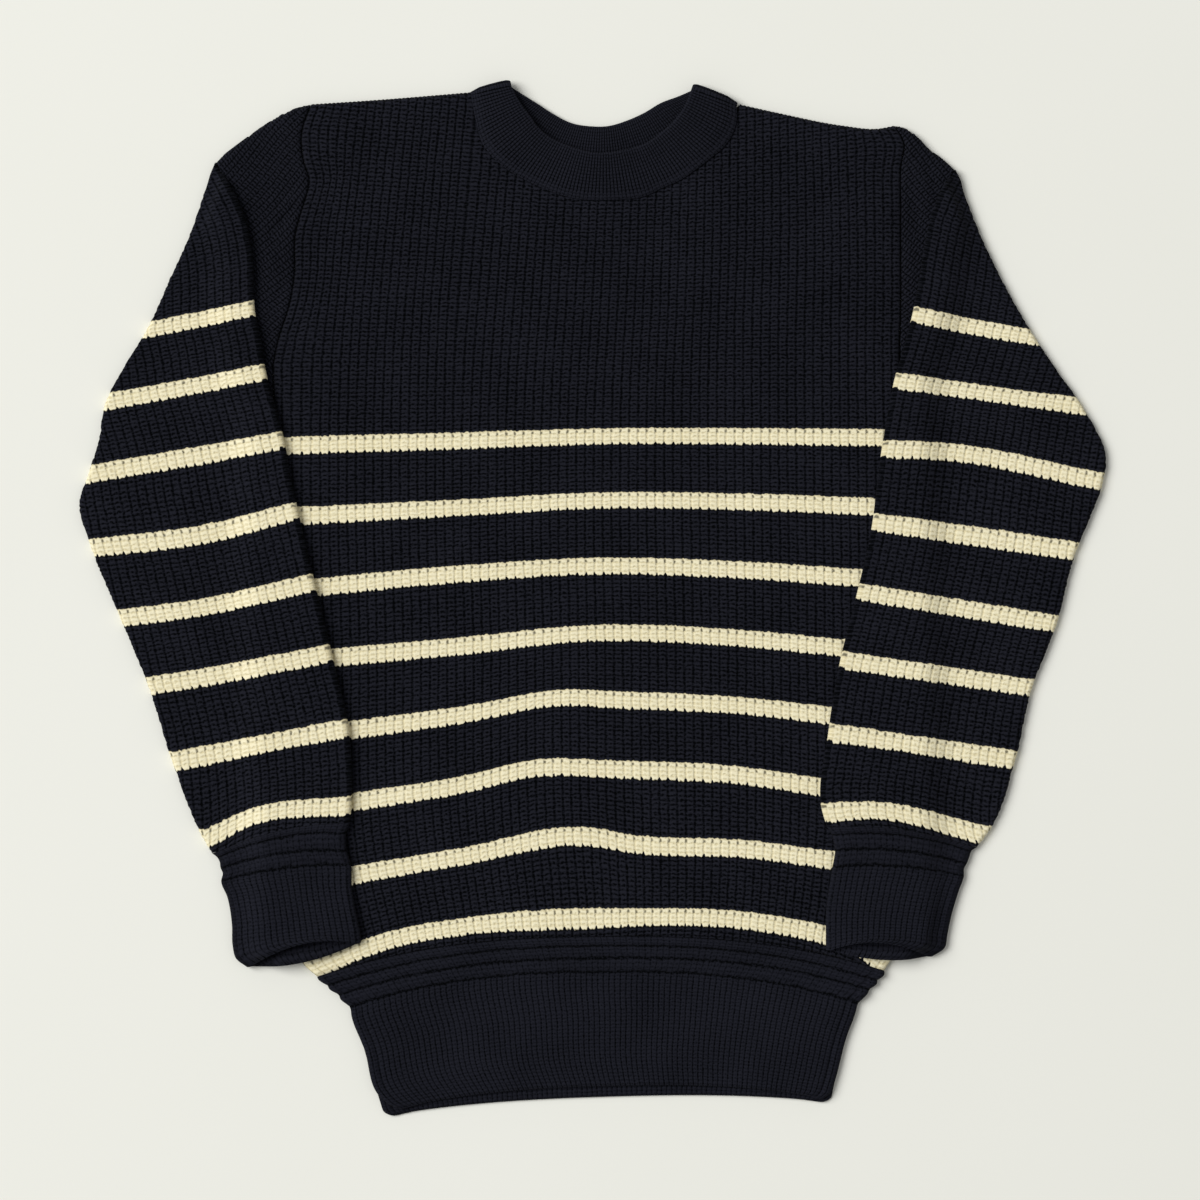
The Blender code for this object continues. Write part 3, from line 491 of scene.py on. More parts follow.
# Hem ribs: three rolled welts above a firm ribbed band, knitted on below each panel in navy yarn on
# finer needles. The back's band is a little longer, so its edge shows below the front's.
HEM_RIBS = 90
BAND_RIB_DEPTH = 0.5
WELT_RISE, WELT_CREASE = 1.1, -0.6  # height of a roll, and of the crease between two, over the plain wall
WELT_COURSES = 3
WELT_END, WELT_END_REACH = 1.8, 14.0  # how far a roll's end stands out of the side edge, and its reach
CORNER = 6.0  # radius of the lower corners
# The side seam rolls to the front: its width, and the depth and half width of the dip beside it
SIDE_ROLL, SIDE_ROLL_DIP, SIDE_DIP_WIDTH = 6.5, 0.7, 1.4
LOOP_BUMP, LOOP_REACH = 0.35, 2.0  # how far the yarn's loops stand out of an edge, and their reach
HEM_SIDE_REACH, HEM_EDGE_REACH = 3.5, 2.5  # how far from its side and lower edges the hem turns down
HEM_RELIEF_FADE = 3.0
DEEPEST = -1.3  # no crease or gap cuts further into the wall
# columns: left x, left y, right x, right y, rise of the row's middle, welts passed
HEM_ROWS = [
    (-181.0, -248.3, 191.0, -244.3, 24.5, 0.0), (-177.5, -251.0, 189.0, -247.5, 24.5, 0.5),
    (-174.0, -254.0, 186.5, -250.5, 24.5, 1.0), (-170.5, -257.0, 184.0, -253.5, 24.0, 1.5),
    (-166.5, -260.0, 181.0, -256.5, 22.5, 2.0), (-163.5, -263.5, 178.0, -260.0, 21.5, 2.5),
    (-159.5, -268.0, 174.0, -265.5, 22.0, 3.0), (-158.5, -274.0, 172.5, -271.0, 22.0, 3.5),
    (-150.0, -296.0, 166.0, -289.0, 19.0, 4.0), (-141.5, -325.0, 159.0, -316.0, 16.0, 4.5),
]
FRONT_HEM_END = (-131.0, -335.0, 155.0, -328.0, 12.0, 5.0)
BACK_HEM_END = (-137.0, -339.5, 156.0, -330.5, 8.0, 5.0)
BAND_START, HEM_LIP = 0.43, 0.06  # part of the hem's depth above the band, and part in its rounded edge
BAND_COURSE = 2.46

# The same yarn on finer needles: close narrow ribs, with painted shade in the crease between the rolled welts
band_wool = knitted_wool(
    "navy_rib_band_wool", navy="1d1e26", painted_shade_navy="020305", line=0.66, dash=0.26, row=0.2, depth=0.45,
    welted=True,
)


def rolls(welts):
    """Height of the rolled welts: half rounds with sharp creases at whole numbers, level past the third."""
    ridge = WELT_CREASE + (WELT_RISE - WELT_CREASE) * np.sqrt(np.abs(np.sin(np.pi * np.clip(welts, 0, 3))))
    first = WELT_RISE * ease(welts / 0.5)
    after = WELT_CREASE * (1 - ease((welts - 3) / 0.35))
    return np.where(welts < 0.5, first, np.where(welts < 3, ridge, after))


def band_courses(welts, depth):
    """Course numbers: three to each welt above zero, then one each BAND_COURSE of depth below it."""
    start = np.interp(3.0, welts, depth)
    return np.where(welts < 3, (3 - welts) * WELT_COURSES, -(depth - start) / BAND_COURSE)


def hem_plan(end, u, t):
    """Plan points of the hem's rows at parts t of its depth, with rolled ends and round lower corners."""
    rows = through(HEM_ROWS + [end], t)
    plan = np.stack([hem_line(row, u) for row in rows])
    depth = np.concatenate([[0.0], np.cumsum(np.linalg.norm(np.diff(plan[:, len(u) // 2], axis=0), axis=1))])
    out = WELT_END * np.abs(np.sin(np.pi * np.clip(rows[:, 5], 0, 3)))
    corner = np.clip((depth[-1] - depth) / CORNER, 0, 1)
    out -= CORNER * (1 - np.sqrt(1 - (1 - corner) ** 2))
    loops = LOOP_BUMP * np.abs(np.sin(2 * np.pi * HEM_RIBS * u))
    plan[..., 1] -= loops * np.exp(-(((depth[-1] - depth) / LOOP_REACH) ** 2))[:, None]
    for side, sign in ((0, -1), (-1, 1)):
        away = np.abs(plan[..., 0] - plan[:, side, None, 0])
        plan[..., 0] += sign * out[:, None] * np.exp(-((away / WELT_END_REACH) ** 2))
    return plan, rows[:, 5], depth


t = np.concatenate([
    np.linspace(0, BAND_START, 61), np.linspace(BAND_START, 1 - HEM_LIP, 24)[1:-1],
    1 - HEM_LIP * even(8)[::-1] ** 1.5,
])
for name, node, end, level in (
    ("hem_band_front", "hem_rib_front", FRONT_HEM_END, PITCH),
    ("hem_band_back", "hem_rib_back", BACK_HEM_END, 0.0),
):
    across = COLUMNS_PER_RIB if level else 4
    u = even(across * HEM_RIBS + 1)
    plan, welts, depth = hem_plan(end, u, t)
    knit_uv = np.stack(np.broadcast_arrays(u * HEM_RIBS, band_courses(welts, depth)[:, None]), axis=2)
    relief = rib_relief(knit_uv[..., 0], BAND_RIB_DEPTH) * ease((welts - 3.1) / 0.3)[:, None]
    turned = np.maximum(
        rounded(side_distance(plan), HEM_SIDE_REACH, WALL if level else WALL / 2),
        rounded(depth[-1] - depth, HEM_EDGE_REACH, WALL / 2)[:, None],
    )
    side_roll = -SIDE_ROLL_DIP * np.exp(-(((side_distance(plan) - SIDE_ROLL) / SIDE_DIP_WIDTH) ** 2))
    raised = np.maximum(rolls(welts)[:, None] * (level > 0) + relief + side_roll, DEEPEST)
    upper = grid(plan, level + WALL - turned + raised * (1 - turned / HEM_RELIEF_FADE))
    lower = grid(plan, level + turned * (level == 0))
    piece = add_cloth(name, [(upper, lower, knit_uv, False, across, 3)], band_wool)
    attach(piece, "root")
    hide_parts(node)

# Neckband: a ring of fine rib, knitted double and folded in half over its own edge, so it is fuller in
# the middle. It is linked to the neckline all round; the front part lies lower and over the back part.
FRONT_SEAM = [
    (-77, 330.5), (-73.8, 315), (-69, 300), (-62, 291), (-53, 283.5), (-42, 277), (-30, 271.5),
    (-19, 267.5), (-7, 265), (7, 264.5), (20, 265), (33, 267), (44, 272), (56, 277.5), (66, 284.5),
    (75, 291.5), (82.5, 298), (88, 306), (91, 316), (91, 324),
]
FRONT_FREE = [
    (-53.3, 335.4), (-48, 325.5), (-41, 316), (-35, 308), (-26, 301), (-14, 296), (-4, 293), (7, 292),
    (20, 294), (34, 298), (44, 305), (53, 313), (60, 323), (64.3, 333.2),
]
BACK_SEAM = [
    (-77, 330.5), (-65, 313), (-50, 298.5), (-29, 288), (-2, 283), (27, 286), (55, 297), (77, 311), (91, 324),
]
BACK_FREE = [
    (-53.3, 335.4), (-44, 329.5), (-36, 324.5), (-26, 318), (-14, 312), (-2, 310), (9, 310), (23, 314),
    (34, 319), (44, 325), (57, 330), (64.3, 333.2),
]
# columns: part of the way from the seam to the free edge, half thickness, height of the back's middle, of
# the front's middle
NECKBAND_SECTION = [
    (-0.12, 0.35, 2.3, 6.5), (-0.06, 0.6, 2.3, 6.8), (0.0, 1.0, 2.2, 6.9), (0.14, 1.8, 2.1, 7.3),
    (0.4, 2.3, 2.3, 7.6), (0.72, 2.3, 2.3, 8.3), (0.9, 1.8, 2.3, 9.0), (0.97, 1.2, 2.3, 9.1),
    (1.0, 0.5, 2.3, 9.1),
]
NECKBAND_RIBS, NECKBAND_TURN_RIBS = 92, 4  # along the front and again along the back, and round each fold
NECKBAND_RIB_DEPTH = 0.4
COLUMNS_PER_FINE_RIB = 6
NECKBAND_DEPTH, NECKBAND_COURSE = 27.0, 2.1

# The same yarn knitted close and double: fine gaps of painted shade between small ribs, flat at both edges
fine_wool = knitted_wool(
    "navy_fine_rib_wool", navy="1f2028", painted_shade_navy="010204", line=1.35, dash=0.25, row=0.26, depth=0.3,
    plain=(0.6, 11.8),
)

part = np.concatenate([np.linspace(-0.12, 0.1, 7), np.linspace(0.15, 0.88, 16), np.linspace(0.91, 1, 6)])
section = np.array(NECKBAND_SECTION)
half, back_rise, front_rise = (np.interp(part, section[:, 0], column) for column in section[:, 1:].T)
part = part[:, None, None]
u = even(NECKBAND_RIBS * COLUMNS_PER_FINE_RIB + 1)
front_line = through(FRONT_SEAM, u)[None] * (1 - part) + through(FRONT_FREE, u)[None] * part
back_line = through(BACK_SEAM, u)[None] * (1 - part) + through(BACK_FREE, u)[None] * part
turn = np.radians(np.linspace(0, 180, NECKBAND_TURN_RIBS * COLUMNS_PER_FINE_RIB + 1))[1:-1]


def turned_over(seam, free, side):
    """The band's fold at a neck point: a half round about the line from the seam to the free edge."""
    line = np.subtract(free, seam) / np.linalg.norm(np.subtract(free, seam))
    away = side * np.array([line[1], -line[0]])
    centre = np.asarray(seam) * (1 - part[:, 0]) + np.asarray(free) * part[:, 0]
    angles = turn if side > 0 else turn[::-1]
    normal = np.stack([np.sin(angles) * away[0], np.sin(angles) * away[1], np.cos(angles)], axis=1)[None]
    core = grid(np.repeat(centre[:, None], len(turn), axis=1), (front_rise + back_rise)[:, None] / 2)
    radius = (front_rise - back_rise)[:, None, None] / 2
    return core + radius * normal, np.repeat(normal, len(half), axis=0)


right_fold, right_normal = turned_over(FRONT_SEAM[-1], FRONT_FREE[-1], 1)
left_fold, left_normal = turned_over(FRONT_SEAM[0], FRONT_FREE[0], -1)
up = np.broadcast_to((0.0, 0.0, 1.0), front_line.shape[:2] + (3,))
front_core, back_core = grid(front_line, front_rise[:, None]), grid(back_line[:, ::-1], back_rise[:, None])
core = np.concatenate([front_core, right_fold, back_core, left_fold], axis=1)
normal = np.concatenate([up, right_normal, -up, left_normal], axis=1)
ribs = np.arange(core.shape[1] + 1) / COLUMNS_PER_FINE_RIB
knit_uv = np.stack(np.broadcast_arrays(ribs, part[:, :, 0] * NECKBAND_DEPTH / NECKBAND_COURSE), axis=2)
ribbed = ease(np.minimum(half - 0.4, 1.0))[:, None]
thick = half[:, None] + rib_relief(ribs[:-1], NECKBAND_RIB_DEPTH) * ribbed
face, lining = core + thick[..., None] * normal, core - thick[..., None] * normal
neckband = add_cloth("neckband", [(face, lining, knit_uv, True, 1, 1)], fine_wool)
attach(neckband, "root")
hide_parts("collar")

# Sleeves: flattened tubes of the striped knit, set into the armholes and folded down over the body. The
# cap lies flat from the armhole seam; the rest of the sleeve turns over it along a fold.
LIFT = 2 * PITCH
FOLD_REACH = PITCH / 2 + WALL / 2
SLEEVE_RIB = 5.75
ROLL, TOP_RAMP, UNDER_RAMP, RAMP_CLEAR = 8.0, 24.0, 12.0, 1.5
TUCK = 4.0  # how far the cap runs on under the fold
NEAR_FOLD = 12.0  # a raised layer comes down to meet the other over this way to the outer fold
# The cap's cloth is pulled aslant, so its ribs and courses are narrow and shallow
CAP_RIB, CAP_COURSE, CAP_RIB_DEPTH = 3.8, 2.3, 0.2
# How far the cap's ribs and its courses bend aside, and over what length
CAP_RIB_BEND, CAP_COURSE_BEND = (2.5, 17.0), (1.5, 11.0)
PLAIN_COURSE = 400  # past every stripe
CAP_ROWS, CAP_COLUMNS = 200, 65
TUCK_PART = 0.12  # part of the cap's height over which the tuck under the fold grows
CROWN_REACH, CROWN_DROP = 4.5, 3.0  # how far from the crown's edge the cap turns down, and by how much
CUFF_CORNER = -132.0
# Rows of the sleeve from the crown's corner to the cuff: the fold that lies over the body, and the outer
# fold. columns: inner out, inner up, outer out, outer up. The foot is where the armhole seam ends, and
# how far down the cap runs under the fold.
SLEEVES = {
    "left": dict(
        side=-1,
        rows=[
            (247.2, 286.0, 248.4, 285.0), (244, 281.5, 250.9, 279.2), (240, 275, 253, 272.3),
            (229, 253, 264.5, 238.8),
            (223, 225, 277.8, 209.3), (222, 203, 287, 188), (221.5, 190, 293, 176), (217, 168, 309, 150),
            (214, 148, 320, 128), (208, 126, 324.2, 104), (202, 103, 331.3, 81), (198, 80, 337, 60),
            (193, 57, 329, 33), (182, 10, 310, -13), (171, -36, 292, -57), (160, -85, 276, -107),
            (158, -134, 256, -157), (159, -146, 250, -167),
        ],
        crown=[
            (185, 324), (190, 323), (200, 319.5), (215, 311), (231, 299.8), (242.6, 291.2), (247.8, 286.0),
        ],
        foot=((-209.9, 128), 126),
        # columns as for the front's creases, with distances out
        creases=[
            (196, 256, 204, 247, 3, -1.0), (204, 247, 210, 240, 3, -1.0), (199, 268, 206, 258, 3, -0.8),
            (206, 290, 224, 270, 9, 0.7), (200, 232, 214, 214, 6, 0.6), (203, 205, 210, 188, 4, -0.7),
        ],
        stripes=[
            [(222, 189.5), (293, 175.7)], [(213.5, 148.2), (319.3, 128.4)], [(201.7, 103.5), (331.8, 81.1)],
            [(192.5, 57.5), (256, 41.1), (329.8, 32.5)], [(182, 10.2), (256, -6.2), (310, -13.5)],
            [(170.8, -35.8), (258, -52.2), (291.7, -57.5)], [(159.7, -85.1), (258, -104.1), (276, -107.4)],
            [(158.3, -135.7), (224, -143.6), (254.3, -158.7)],
        ],
    ),
    "right": dict(
        side=1,
        rows=[
            (237.3, 281.2, 238.3, 280.4), (234, 277.5, 241.2, 274.8), (230.8, 273, 242.8, 268.5),
            (222, 253, 254, 239), (217, 231, 265, 215.6),
            (213, 206, 278, 191), (209, 185.6, 290.4, 170.5), (203.5, 165, 306, 147.5), (197, 142, 321, 126),
            (192.5, 118, 336, 96.5), (189, 97.6, 334.4, 76), (186, 75, 326.5, 54), (183, 50, 317, 31),
            (173, 4, 304, -17), (162, -40, 288, -59), (154, -88, 277, -106), (150, -139, 259, -154),
            (153, -149, 252, -163),
        ],
        crown=[(198, 310), (201, 309.5), (212, 303.5), (220, 295), (229, 288.4), (237.8, 280.8)],
        foot=((201.5, 160), 142),
        creases=[
            (207, 268, 213, 246, 4, -0.8), (214, 290, 222, 268, 8, 0.6), (206, 232, 211, 212, 4, 0.6),
            (220, 284, 226, 262, 4, -0.9),
        ],
        stripes=[
            [(208.9, 185.6), (252.3, 177.1), (290.4, 170.5)], [(197.1, 142.2), (320.6, 125.8)],
            [(188.6, 97.6), (233.9, 96.3), (334.4, 75.9)], [(183.3, 49.6), (316.7, 30.6)],
            [(172.8, 4.3), (303.5, -17.4)], [(162.3, -40.4), (288.4, -58.8)],
            [(153.7, -87.7), (277.3, -106.1)], [(151.1, -140.9), (183.3, -139), (258.2, -156)],
        ],
    ),
}
SLEEVE_ROWS = 322
UNDER_COLUMNS, ARC_COLUMNS = 24, 8  # at least, across the under layer and round the inner fold
CROWN_LOOP = 1.3 * LOOP_BUMP
CROWN_SEED, FOLD_SEED = 9, 4


def body_side(cut):
    """The edge of the body from the hem up to the shoulder: distances out and heights."""
    tables = (LEFT_SIDE, LEFT_ARMHOLE) if cut["side"] < 0 else (RIGHT_SIDE, RIGHT_ARMHOLE)
    points = np.concatenate([through(table, even(60)) for table in tables])
    return np.abs(points[:, 0]), points[:, 1]


def lifted(cut, plan, top):
    """How far a layer of the sleeve is raised at each point: fully over the body and the cap, then it runs
    down beyond them, first the under layer and then the top."""
    out, up = body_side(cut)
    out = np.where(up < CUFF_CORNER, np.interp(CUFF_CORNER, up, out), out) + RAMP_CLEAR
    fold = through(cut["rows"], even(300))[:, :2]
    fold_out = np.interp(up, fold[::-1, 1], fold[::-1, 0]) + TUCK + RAMP_CLEAR
    edge = np.where(up > cut["foot"][1], np.maximum(out, fold_out), out)
    beyond = plan[..., 0] - np.interp(plan[..., 1], up, edge)
    return ease(1 - (beyond - ROLL) / TOP_RAMP) if top else ease(1 - beyond / UNDER_RAMP)


def tube(cut, inner, outer, distance, under_parts, bow, rise, gape=0.0, rim=0.0):
    """A flattened tube, ring by ring: its top, outer fold, under layer and inner fold.

    distance gives each top column's way from the inner fold's centre line, in millimetres. Past the top
    it goes on round the outer fold and stops there. bow bends the top and under rows, rise lifts the top's
    outer face, gape lifts both of its faces, as at an open mouth, and rim lifts the under layer.
    Returns the outer faces, the inner faces and the top's part of each ring.
    """
    width = np.linalg.norm(outer - inner, axis=1)
    across = (outer - inner) / width[:, None]
    # At the crown's corner the tube is so narrow that its two folds nearly meet.
    reach = np.minimum(FOLD_REACH, 0.45 * width)
    straight = (width - 2 * reach)[:, None]
    start = inner + reach[:, None] * across

    def layer(way, top):
        part = np.clip(way / straight, 0, 1)
        plan = start[:, None] + (part * straight)[..., None] * across[:, None]
        plan[..., 1] += bow[:, 0 if top else 1, None] * 4 * part * (1 - part)
        near = ease((1 - part) * straight / NEAR_FOLD)
        level = (WALL / 2 + PITCH if top else WALL / 2) + LIFT * lifted(cut, plan, top) * near
        return plan, level

    top_plan, top_level = layer(distance, True)
    under_plan, under_level = layer(under_parts * straight, False)
    under_level = under_level + rim * 4 * under_parts * (1 - under_parts)
    turn = np.clip((distance - straight) / reach[:, None], 0, np.pi)
    end_turn = np.linspace(0, np.pi, ARC_COLUMNS + 1)[1:-1]
    faces = []
    for wall in (WALL / 2, -WALL / 2):
        arc = np.maximum(reach + (wall - WALL / 2) * reach / FOLD_REACH, 0.1)
        upper, lower = top_level + wall, under_level - wall
        upper = upper + gape + rise * (wall > 0)
        middle = (upper[:, -1:] + lower[:, :1]) / 2
        half = (upper[:, -1:] - lower[:, :1]) / 2
        rounded_out = (arc[:, None] * np.sin(turn))[..., None] * across[:, None]
        height = np.where(turn > 0, middle + half * np.cos(turn), upper)
        top = grid(top_plan + rounded_out, height)
        under = grid(under_plan, lower)
        middle = (upper[:, :1] + lower[:, -1:]) / 2
        half = (upper[:, :1] - lower[:, -1:]) / 2
        plan = top_plan[:, :1] - (arc[:, None] * np.sin(end_turn))[..., None] * across[:, None]
        fold = grid(plan, middle - half * np.cos(end_turn))
        faces.append(np.concatenate([top, under, fold], axis=1))
    return faces[0], faces[1], straight


def mirrored(cut, points):
    """Points with their distances out turned into X on the sleeve's own side."""
    return points * (cut["side"], 1, 1)


def cap_shell(cut):
    """The cap: it runs out from the armhole seam under the fold, its ribs aslant and its crown rounded."""
    armhole = LEFT_ARMHOLE if cut["side"] < 0 else RIGHT_ARMHOLE
    down = even(CAP_ROWS)
    seam = through(np.abs(np.array(armhole[::-1] + [cut["foot"][0]], float)), down)
    out, up = body_side(cut)
    seam[:, 0] = np.interp(seam[:, 1], up, out) + SEAM_GAP
    fold_rows = np.array(cut["rows"], float)[:, :2]
    fold_rows = fold_rows[fold_rows[:, 1] >= cut["foot"][1]]
    fold = through(fold_rows, down)
    fold[:, 0] += TUCK * ease(down / TUCK_PART)
    crown = through(cut["crown"], even(CAP_COLUMNS))
    crown[4:-4, 1] += CROWN_LOOP * np.random.default_rng(CROWN_SEED).uniform(-1, 1, CAP_COLUMNS - 8)
    foot = np.linspace(seam[-1], fold[-1], CAP_COLUMNS)
    across = even(CAP_COLUMNS)[None, :, None]
    down = down[:, None, None]
    plan = (1 - across) * seam[:, None] + across * fold[:, None]
    plan = plan + (1 - down) * crown[None] + down * foot[None]
    corners = (1 - down) * ((1 - across) * crown[0] + across * crown[-1])
    corners = corners + down * ((1 - across) * foot[0] + across * foot[-1])
    plan = plan - corners
    aslant = np.stack([plan[..., 0] + plan[..., 1], plan[..., 1] - plan[..., 0]], axis=2) * np.sqrt(0.5)
    bend, length = CAP_RIB_BEND
    ribs = (aslant[..., 0] + bend * np.sin(aslant[..., 1] / length)) / CAP_RIB
    bend, length = CAP_COURSE_BEND
    courses_at = (aslant[..., 1] + bend * np.sin(aslant[..., 0] / length)) / CAP_COURSE + PLAIN_COURSE
    knit_uv = np.stack([ribs, courses_at], axis=2)
    from_crown = np.linalg.norm(plan - plan[:1], axis=2)
    from_seam = plan[..., 0] - plan[:, :1, 0]
    crown_turn = rounded(from_crown, CROWN_REACH, CROWN_DROP)
    turned = np.maximum(crown_turn, rounded(from_seam, EDGE_REACH, ARMHOLE_DROP))
    swell = creased(plan, cut["creases"])
    level = PITCH + WALL - turned + (swell + rib_relief(ribs, CAP_RIB_DEPTH)) * (1 - turned / RELIEF_FADE)
    upper, lower = grid(plan, level), grid(plan, crown_turn)
    return mirrored(cut, upper), mirrored(cut, lower), knit_uv, False, COLUMNS_PER_RIB, 1


for name, cut in SLEEVES.items():
    rows = through(cut["rows"], even(SLEEVE_ROWS))
    inner, outer = rows[:, :2], rows[:, 2:]
    loops = LOOP_BUMP * np.random.default_rng(FOLD_SEED).uniform(-1, 1, SLEEVE_ROWS)
    outer[:, 0] += loops * (even(SLEEVE_ROWS) > 0.04)
    widest = np.linalg.norm(outer - inner, axis=1).max()
    step = SLEEVE_RIB / COLUMNS_PER_RIB
    top_columns = int(np.ceil((widest + np.pi * FOLD_REACH) / step)) + 1
    # The under layer takes the columns that the ring lacks to divide by those of a rib.
    ring = top_columns + UNDER_COLUMNS + ARC_COLUMNS - 1
    under_columns = UNDER_COLUMNS + -ring % COLUMNS_PER_RIB
    distance = np.arange(top_columns) * step
    bow = np.zeros((SLEEVE_ROWS, 2))
    face, lining, straight = tube(cut, inner, outer, distance[None], 1 - even(under_columns), bow, 0.0)
    ribs = np.concatenate([
        distance / SLEEVE_RIB, np.linspace(-22, -0.2, under_columns), np.linspace(-0.2, 0, ARC_COLUMNS),
    ])
    courses_at = courses(cut["stripes"], face[..., 0], face[..., 1])
    courses_at = np.concatenate([courses_at, courses_at[:, :1]], axis=1)
    knit_uv = np.stack([np.broadcast_to(ribs, courses_at.shape), courses_at], axis=2)
    # The ribs fade out where the cloth goes round its two folds.
    on_top = ease(1 - (distance[None] - straight) / 4.0) * ease(distance[None] / 2.0)
    face[:, :top_columns, 2] += rib_relief(distance / SLEEVE_RIB, RIB_DEPTH) * on_top
    shells = [(mirrored(cut, face), mirrored(cut, lining), knit_uv, True, COLUMNS_PER_RIB, 3), cap_shell(cut)]
    piece = add_cloth(f"knit_sleeve_{name}", shells, striped_wool)
    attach(piece, "root")
    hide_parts(f"sleeve_{name}")

# Cuffs: two rolled welts and a ribbed band in navy yarn, knitted on below each sleeve. The band's under
# layer runs a little further, so its inside shows past the mouth.
# columns: outer out, outer up, inner out, inner up, rise of the top's middle, of the under's middle,
# welts passed
CUFFS = {
    "left": [
        (250.0, -167.3, 159.0, -146.3, 5, 5, 0.0), (247.0, -169.5, 161.5, -153.0, 5, 5, 1.0),
        (245.0, -173.0, 162.0, -158.5, 4, 4, 1.5), (244.5, -176.5, 161.5, -164.5, 4, 4, 2.0),
        (243.0, -180.5, 160.0, -169.0, 4, 4, 2.5), (244.0, -185.0, 158.5, -174.0, 3, 3, 3.0),
        (240.0, -196.0, 158.0, -188.0, 2, 2, 3.5), (237.0, -214.0, 155.0, -206.0, 1, 0, 4.0),
        (236.5, -228.0, 152.5, -218.0, 3, -2, 4.5), (234.5, -236.0, 152.0, -223.0, 5.5, -3, 5.0),
        (227.0, -242.0, 152.0, -225.5, 8, -4.5, 5.5),
    ],
    "right": [
        (252.0, -163.3, 153.0, -149.3, 5, 5, 0.0), (248.5, -165.5, 156.5, -154.5, 5, 5, 1.0),
        (247.0, -169.5, 157.5, -159.0, 4, 4, 1.5), (245.5, -173.5, 158.5, -164.5, 4, 4, 2.0),
        (243.5, -177.5, 158.0, -169.5, 4, 4, 2.5), (243.5, -181.5, 157.0, -175.0, 3, 3, 3.0),
        (240.0, -192.0, 155.0, -187.0, 2, 2, 3.5), (235.0, -209.0, 152.5, -206.0, 1, 0, 4.0),
        (232.5, -221.0, 152.5, -220.0, 2.5, -2, 4.5), (231.0, -229.0, 152.5, -226.5, 5, -3, 5.0),
        (222.5, -235.0, 152.5, -230.0, 7.5, -4, 5.5),
    ],
}
CUFF_RIBS = {"left": 20, "right": 21}
CUFF_BAND_START, CUFF_LIP_START = 0.28, 0.97
# How far the mouth's top layer stands open, and how far up the sleeve that reaches
MOUTH_GAPE, GAPE_REACH = 6.0, 7.0
# How far the rim of the mouth's under layer rolls up, its middle from the edge, and its half width
RIM_RISE, RIM_MIDDLE, RIM_WIDTH = 2.8, 1.5, 3.2

for name, table in CUFFS.items():
    cut = SLEEVES[name]
    t = np.concatenate([
        np.linspace(0, CUFF_BAND_START, 42), np.linspace(CUFF_BAND_START, CUFF_LIP_START, 37)[1:-1],
        np.linspace(CUFF_LIP_START, 1, 8),
    ])
    rows = through(table, t)
    outer, inner = rows[:, :2], rows[:, 2:4]
    ribs = CUFF_RIBS[name]
    straight = np.linalg.norm(outer - inner, axis=1)[:, None] - 2 * FOLD_REACH
    across = np.concatenate([even(ribs * COLUMNS_PER_RIB + 1), 1 + np.linspace(0, 1, ARC_COLUMNS + 1)[1:]])
    arc = np.pi * FOLD_REACH / straight
    distance = straight * np.where(across <= 1, across, 1 + (across - 1) * arc)
    under = 1 - even(4 * ribs)
    welt_end = ease((distance + 1) / 3.0) * ease((straight + 1 - distance) / 3.0)
    rise = rolls(rows[:, 6:7]) * welt_end
    banded = ease((rows[:, 6:7] - 3.1) / 0.3)
    rise += rib_relief(across * ribs, BAND_RIB_DEPTH) * banded * ease((straight + 2 - distance) / 4.0)
    down = np.concatenate([[0.0], np.cumsum(np.linalg.norm(np.diff(inner, axis=0), axis=1))])
    arch = np.clip(distance / straight, 0, 1)
    from_rim = (down[-1] - down)[:, None]
    gape = MOUTH_GAPE * 4 * arch * (1 - arch) * np.exp(-((from_rim / GAPE_REACH) ** 2))
    rim = RIM_RISE * np.exp(-(((from_rim - RIM_MIDDLE) / RIM_WIDTH) ** 2))
    face, lining, _ = tube(cut, inner, outer, distance, under, rows[:, 4:6], rise, gape, rim)
    ribs_at = np.concatenate([across * ribs, ribs + 1 + (1 - under) * ribs, 2 * ribs + 1 + even(ARC_COLUMNS)])
    knit_uv = np.stack(np.broadcast_arrays(ribs_at, band_courses(rows[:, 6], down)[:, None]), axis=2)
    shells = [(mirrored(cut, face), mirrored(cut, lining), knit_uv, True, 4, 3)]
    piece = add_cloth(f"cuff_band_{name}", shells, band_wool)
    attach(piece, "root")
    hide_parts(f"cuff_{name}")

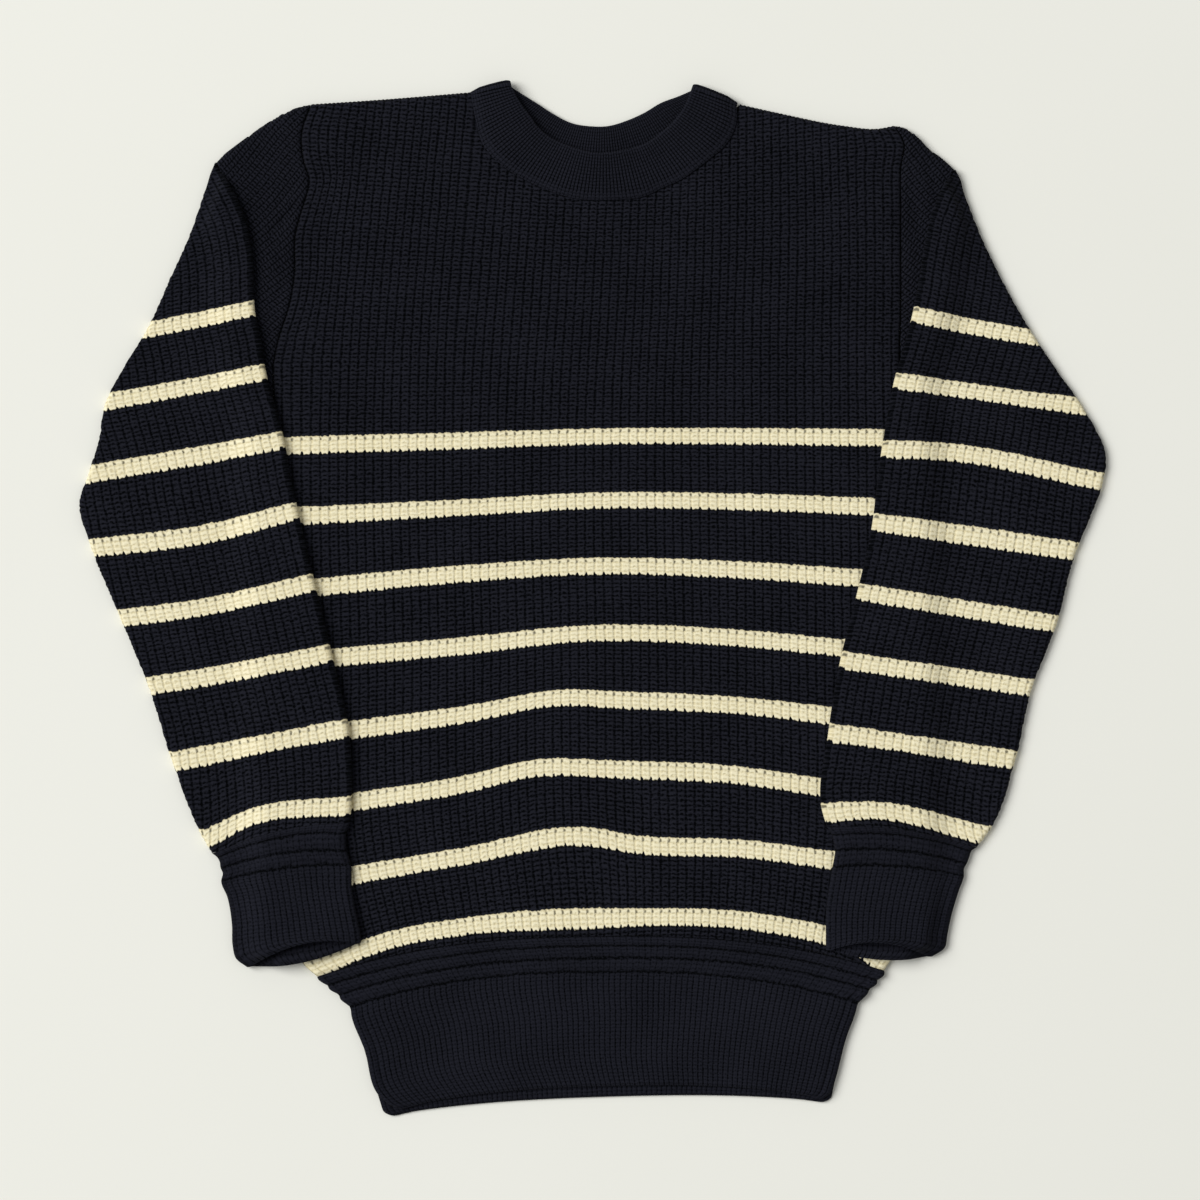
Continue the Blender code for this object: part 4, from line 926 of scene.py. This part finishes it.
# Surface, light and camera: a plain warm white ground, one broad soft light from the upper left with an
# even fill, and a camera straight above at the photograph's framing.
ground_mesh = bpy.data.meshes.new("ground")
GROUND_REACH, GROUND_TOP = 3.0, -0.0002  # half its side, and its height just below the garment
corners = [(x * GROUND_REACH, y * GROUND_REACH, GROUND_TOP) for x, y in ((-1, -1), (1, -1), (1, 1), (-1, 1))]
ground_mesh.from_pydata(corners, [], [(0, 1, 2, 3)])
ground = bpy.data.objects.new("ground", ground_mesh)
bpy.context.scene.collection.objects.link(ground)
paper = bpy.data.materials.new("warm_white_paper")
paper.use_nodes = True
paper_tree = paper.node_tree
paper_shader = paper_tree.nodes["Principled BSDF"]
paper_place = add_node(paper_tree, "TexCoord").outputs["Object"]
mottle = add_node(paper_tree, "TexNoise", {"Vector": paper_place, "Scale": 3.0})
paper_colour = add_node(paper_tree, "MixRGB", {0: mottle, 1: linear("eeeee6"), 2: linear("ebebe2")})
paper_tree.links.new(paper_colour.outputs[0], paper_shader.inputs["Base Color"])
paper_shader.inputs["Roughness"].default_value = 0.9
ground_mesh.materials.append(paper)

world = bpy.data.worlds.new("studio")
world.use_nodes = True
background = world.node_tree.nodes["Background"]
background.inputs["Color"].default_value = (1.0, 1.0, 1.0, 1.0)
background.inputs["Strength"].default_value = 0.35
bpy.context.scene.world = world
light = bpy.data.lights.new("softbox", "AREA")
light.shape = "DISK"
light.size = 10.0
light.energy = 1790.0
softbox = bpy.data.objects.new("softbox", light)
softbox.location = (-8.7, 3.0, 10.2)
softbox.rotation_euler = (-softbox.location).to_track_quat("-Z", "Y").to_euler()
softbox.visible_camera = False
bpy.context.scene.collection.objects.link(softbox)

camera_data = bpy.data.cameras.new("camera")
CAMERA_HEIGHT, FRAME_WIDTH = 3.0, 0.7884
camera_data.sensor_width = 36.0
camera_data.lens = camera_data.sensor_width * CAMERA_HEIGHT / FRAME_WIDTH
camera = bpy.data.objects.new("camera", camera_data)
camera.location = (0.0046, -0.0010, CAMERA_HEIGHT)
bpy.context.scene.collection.objects.link(camera)
bpy.context.scene.camera = camera
bpy.context.scene.view_settings.view_transform = "Standard"
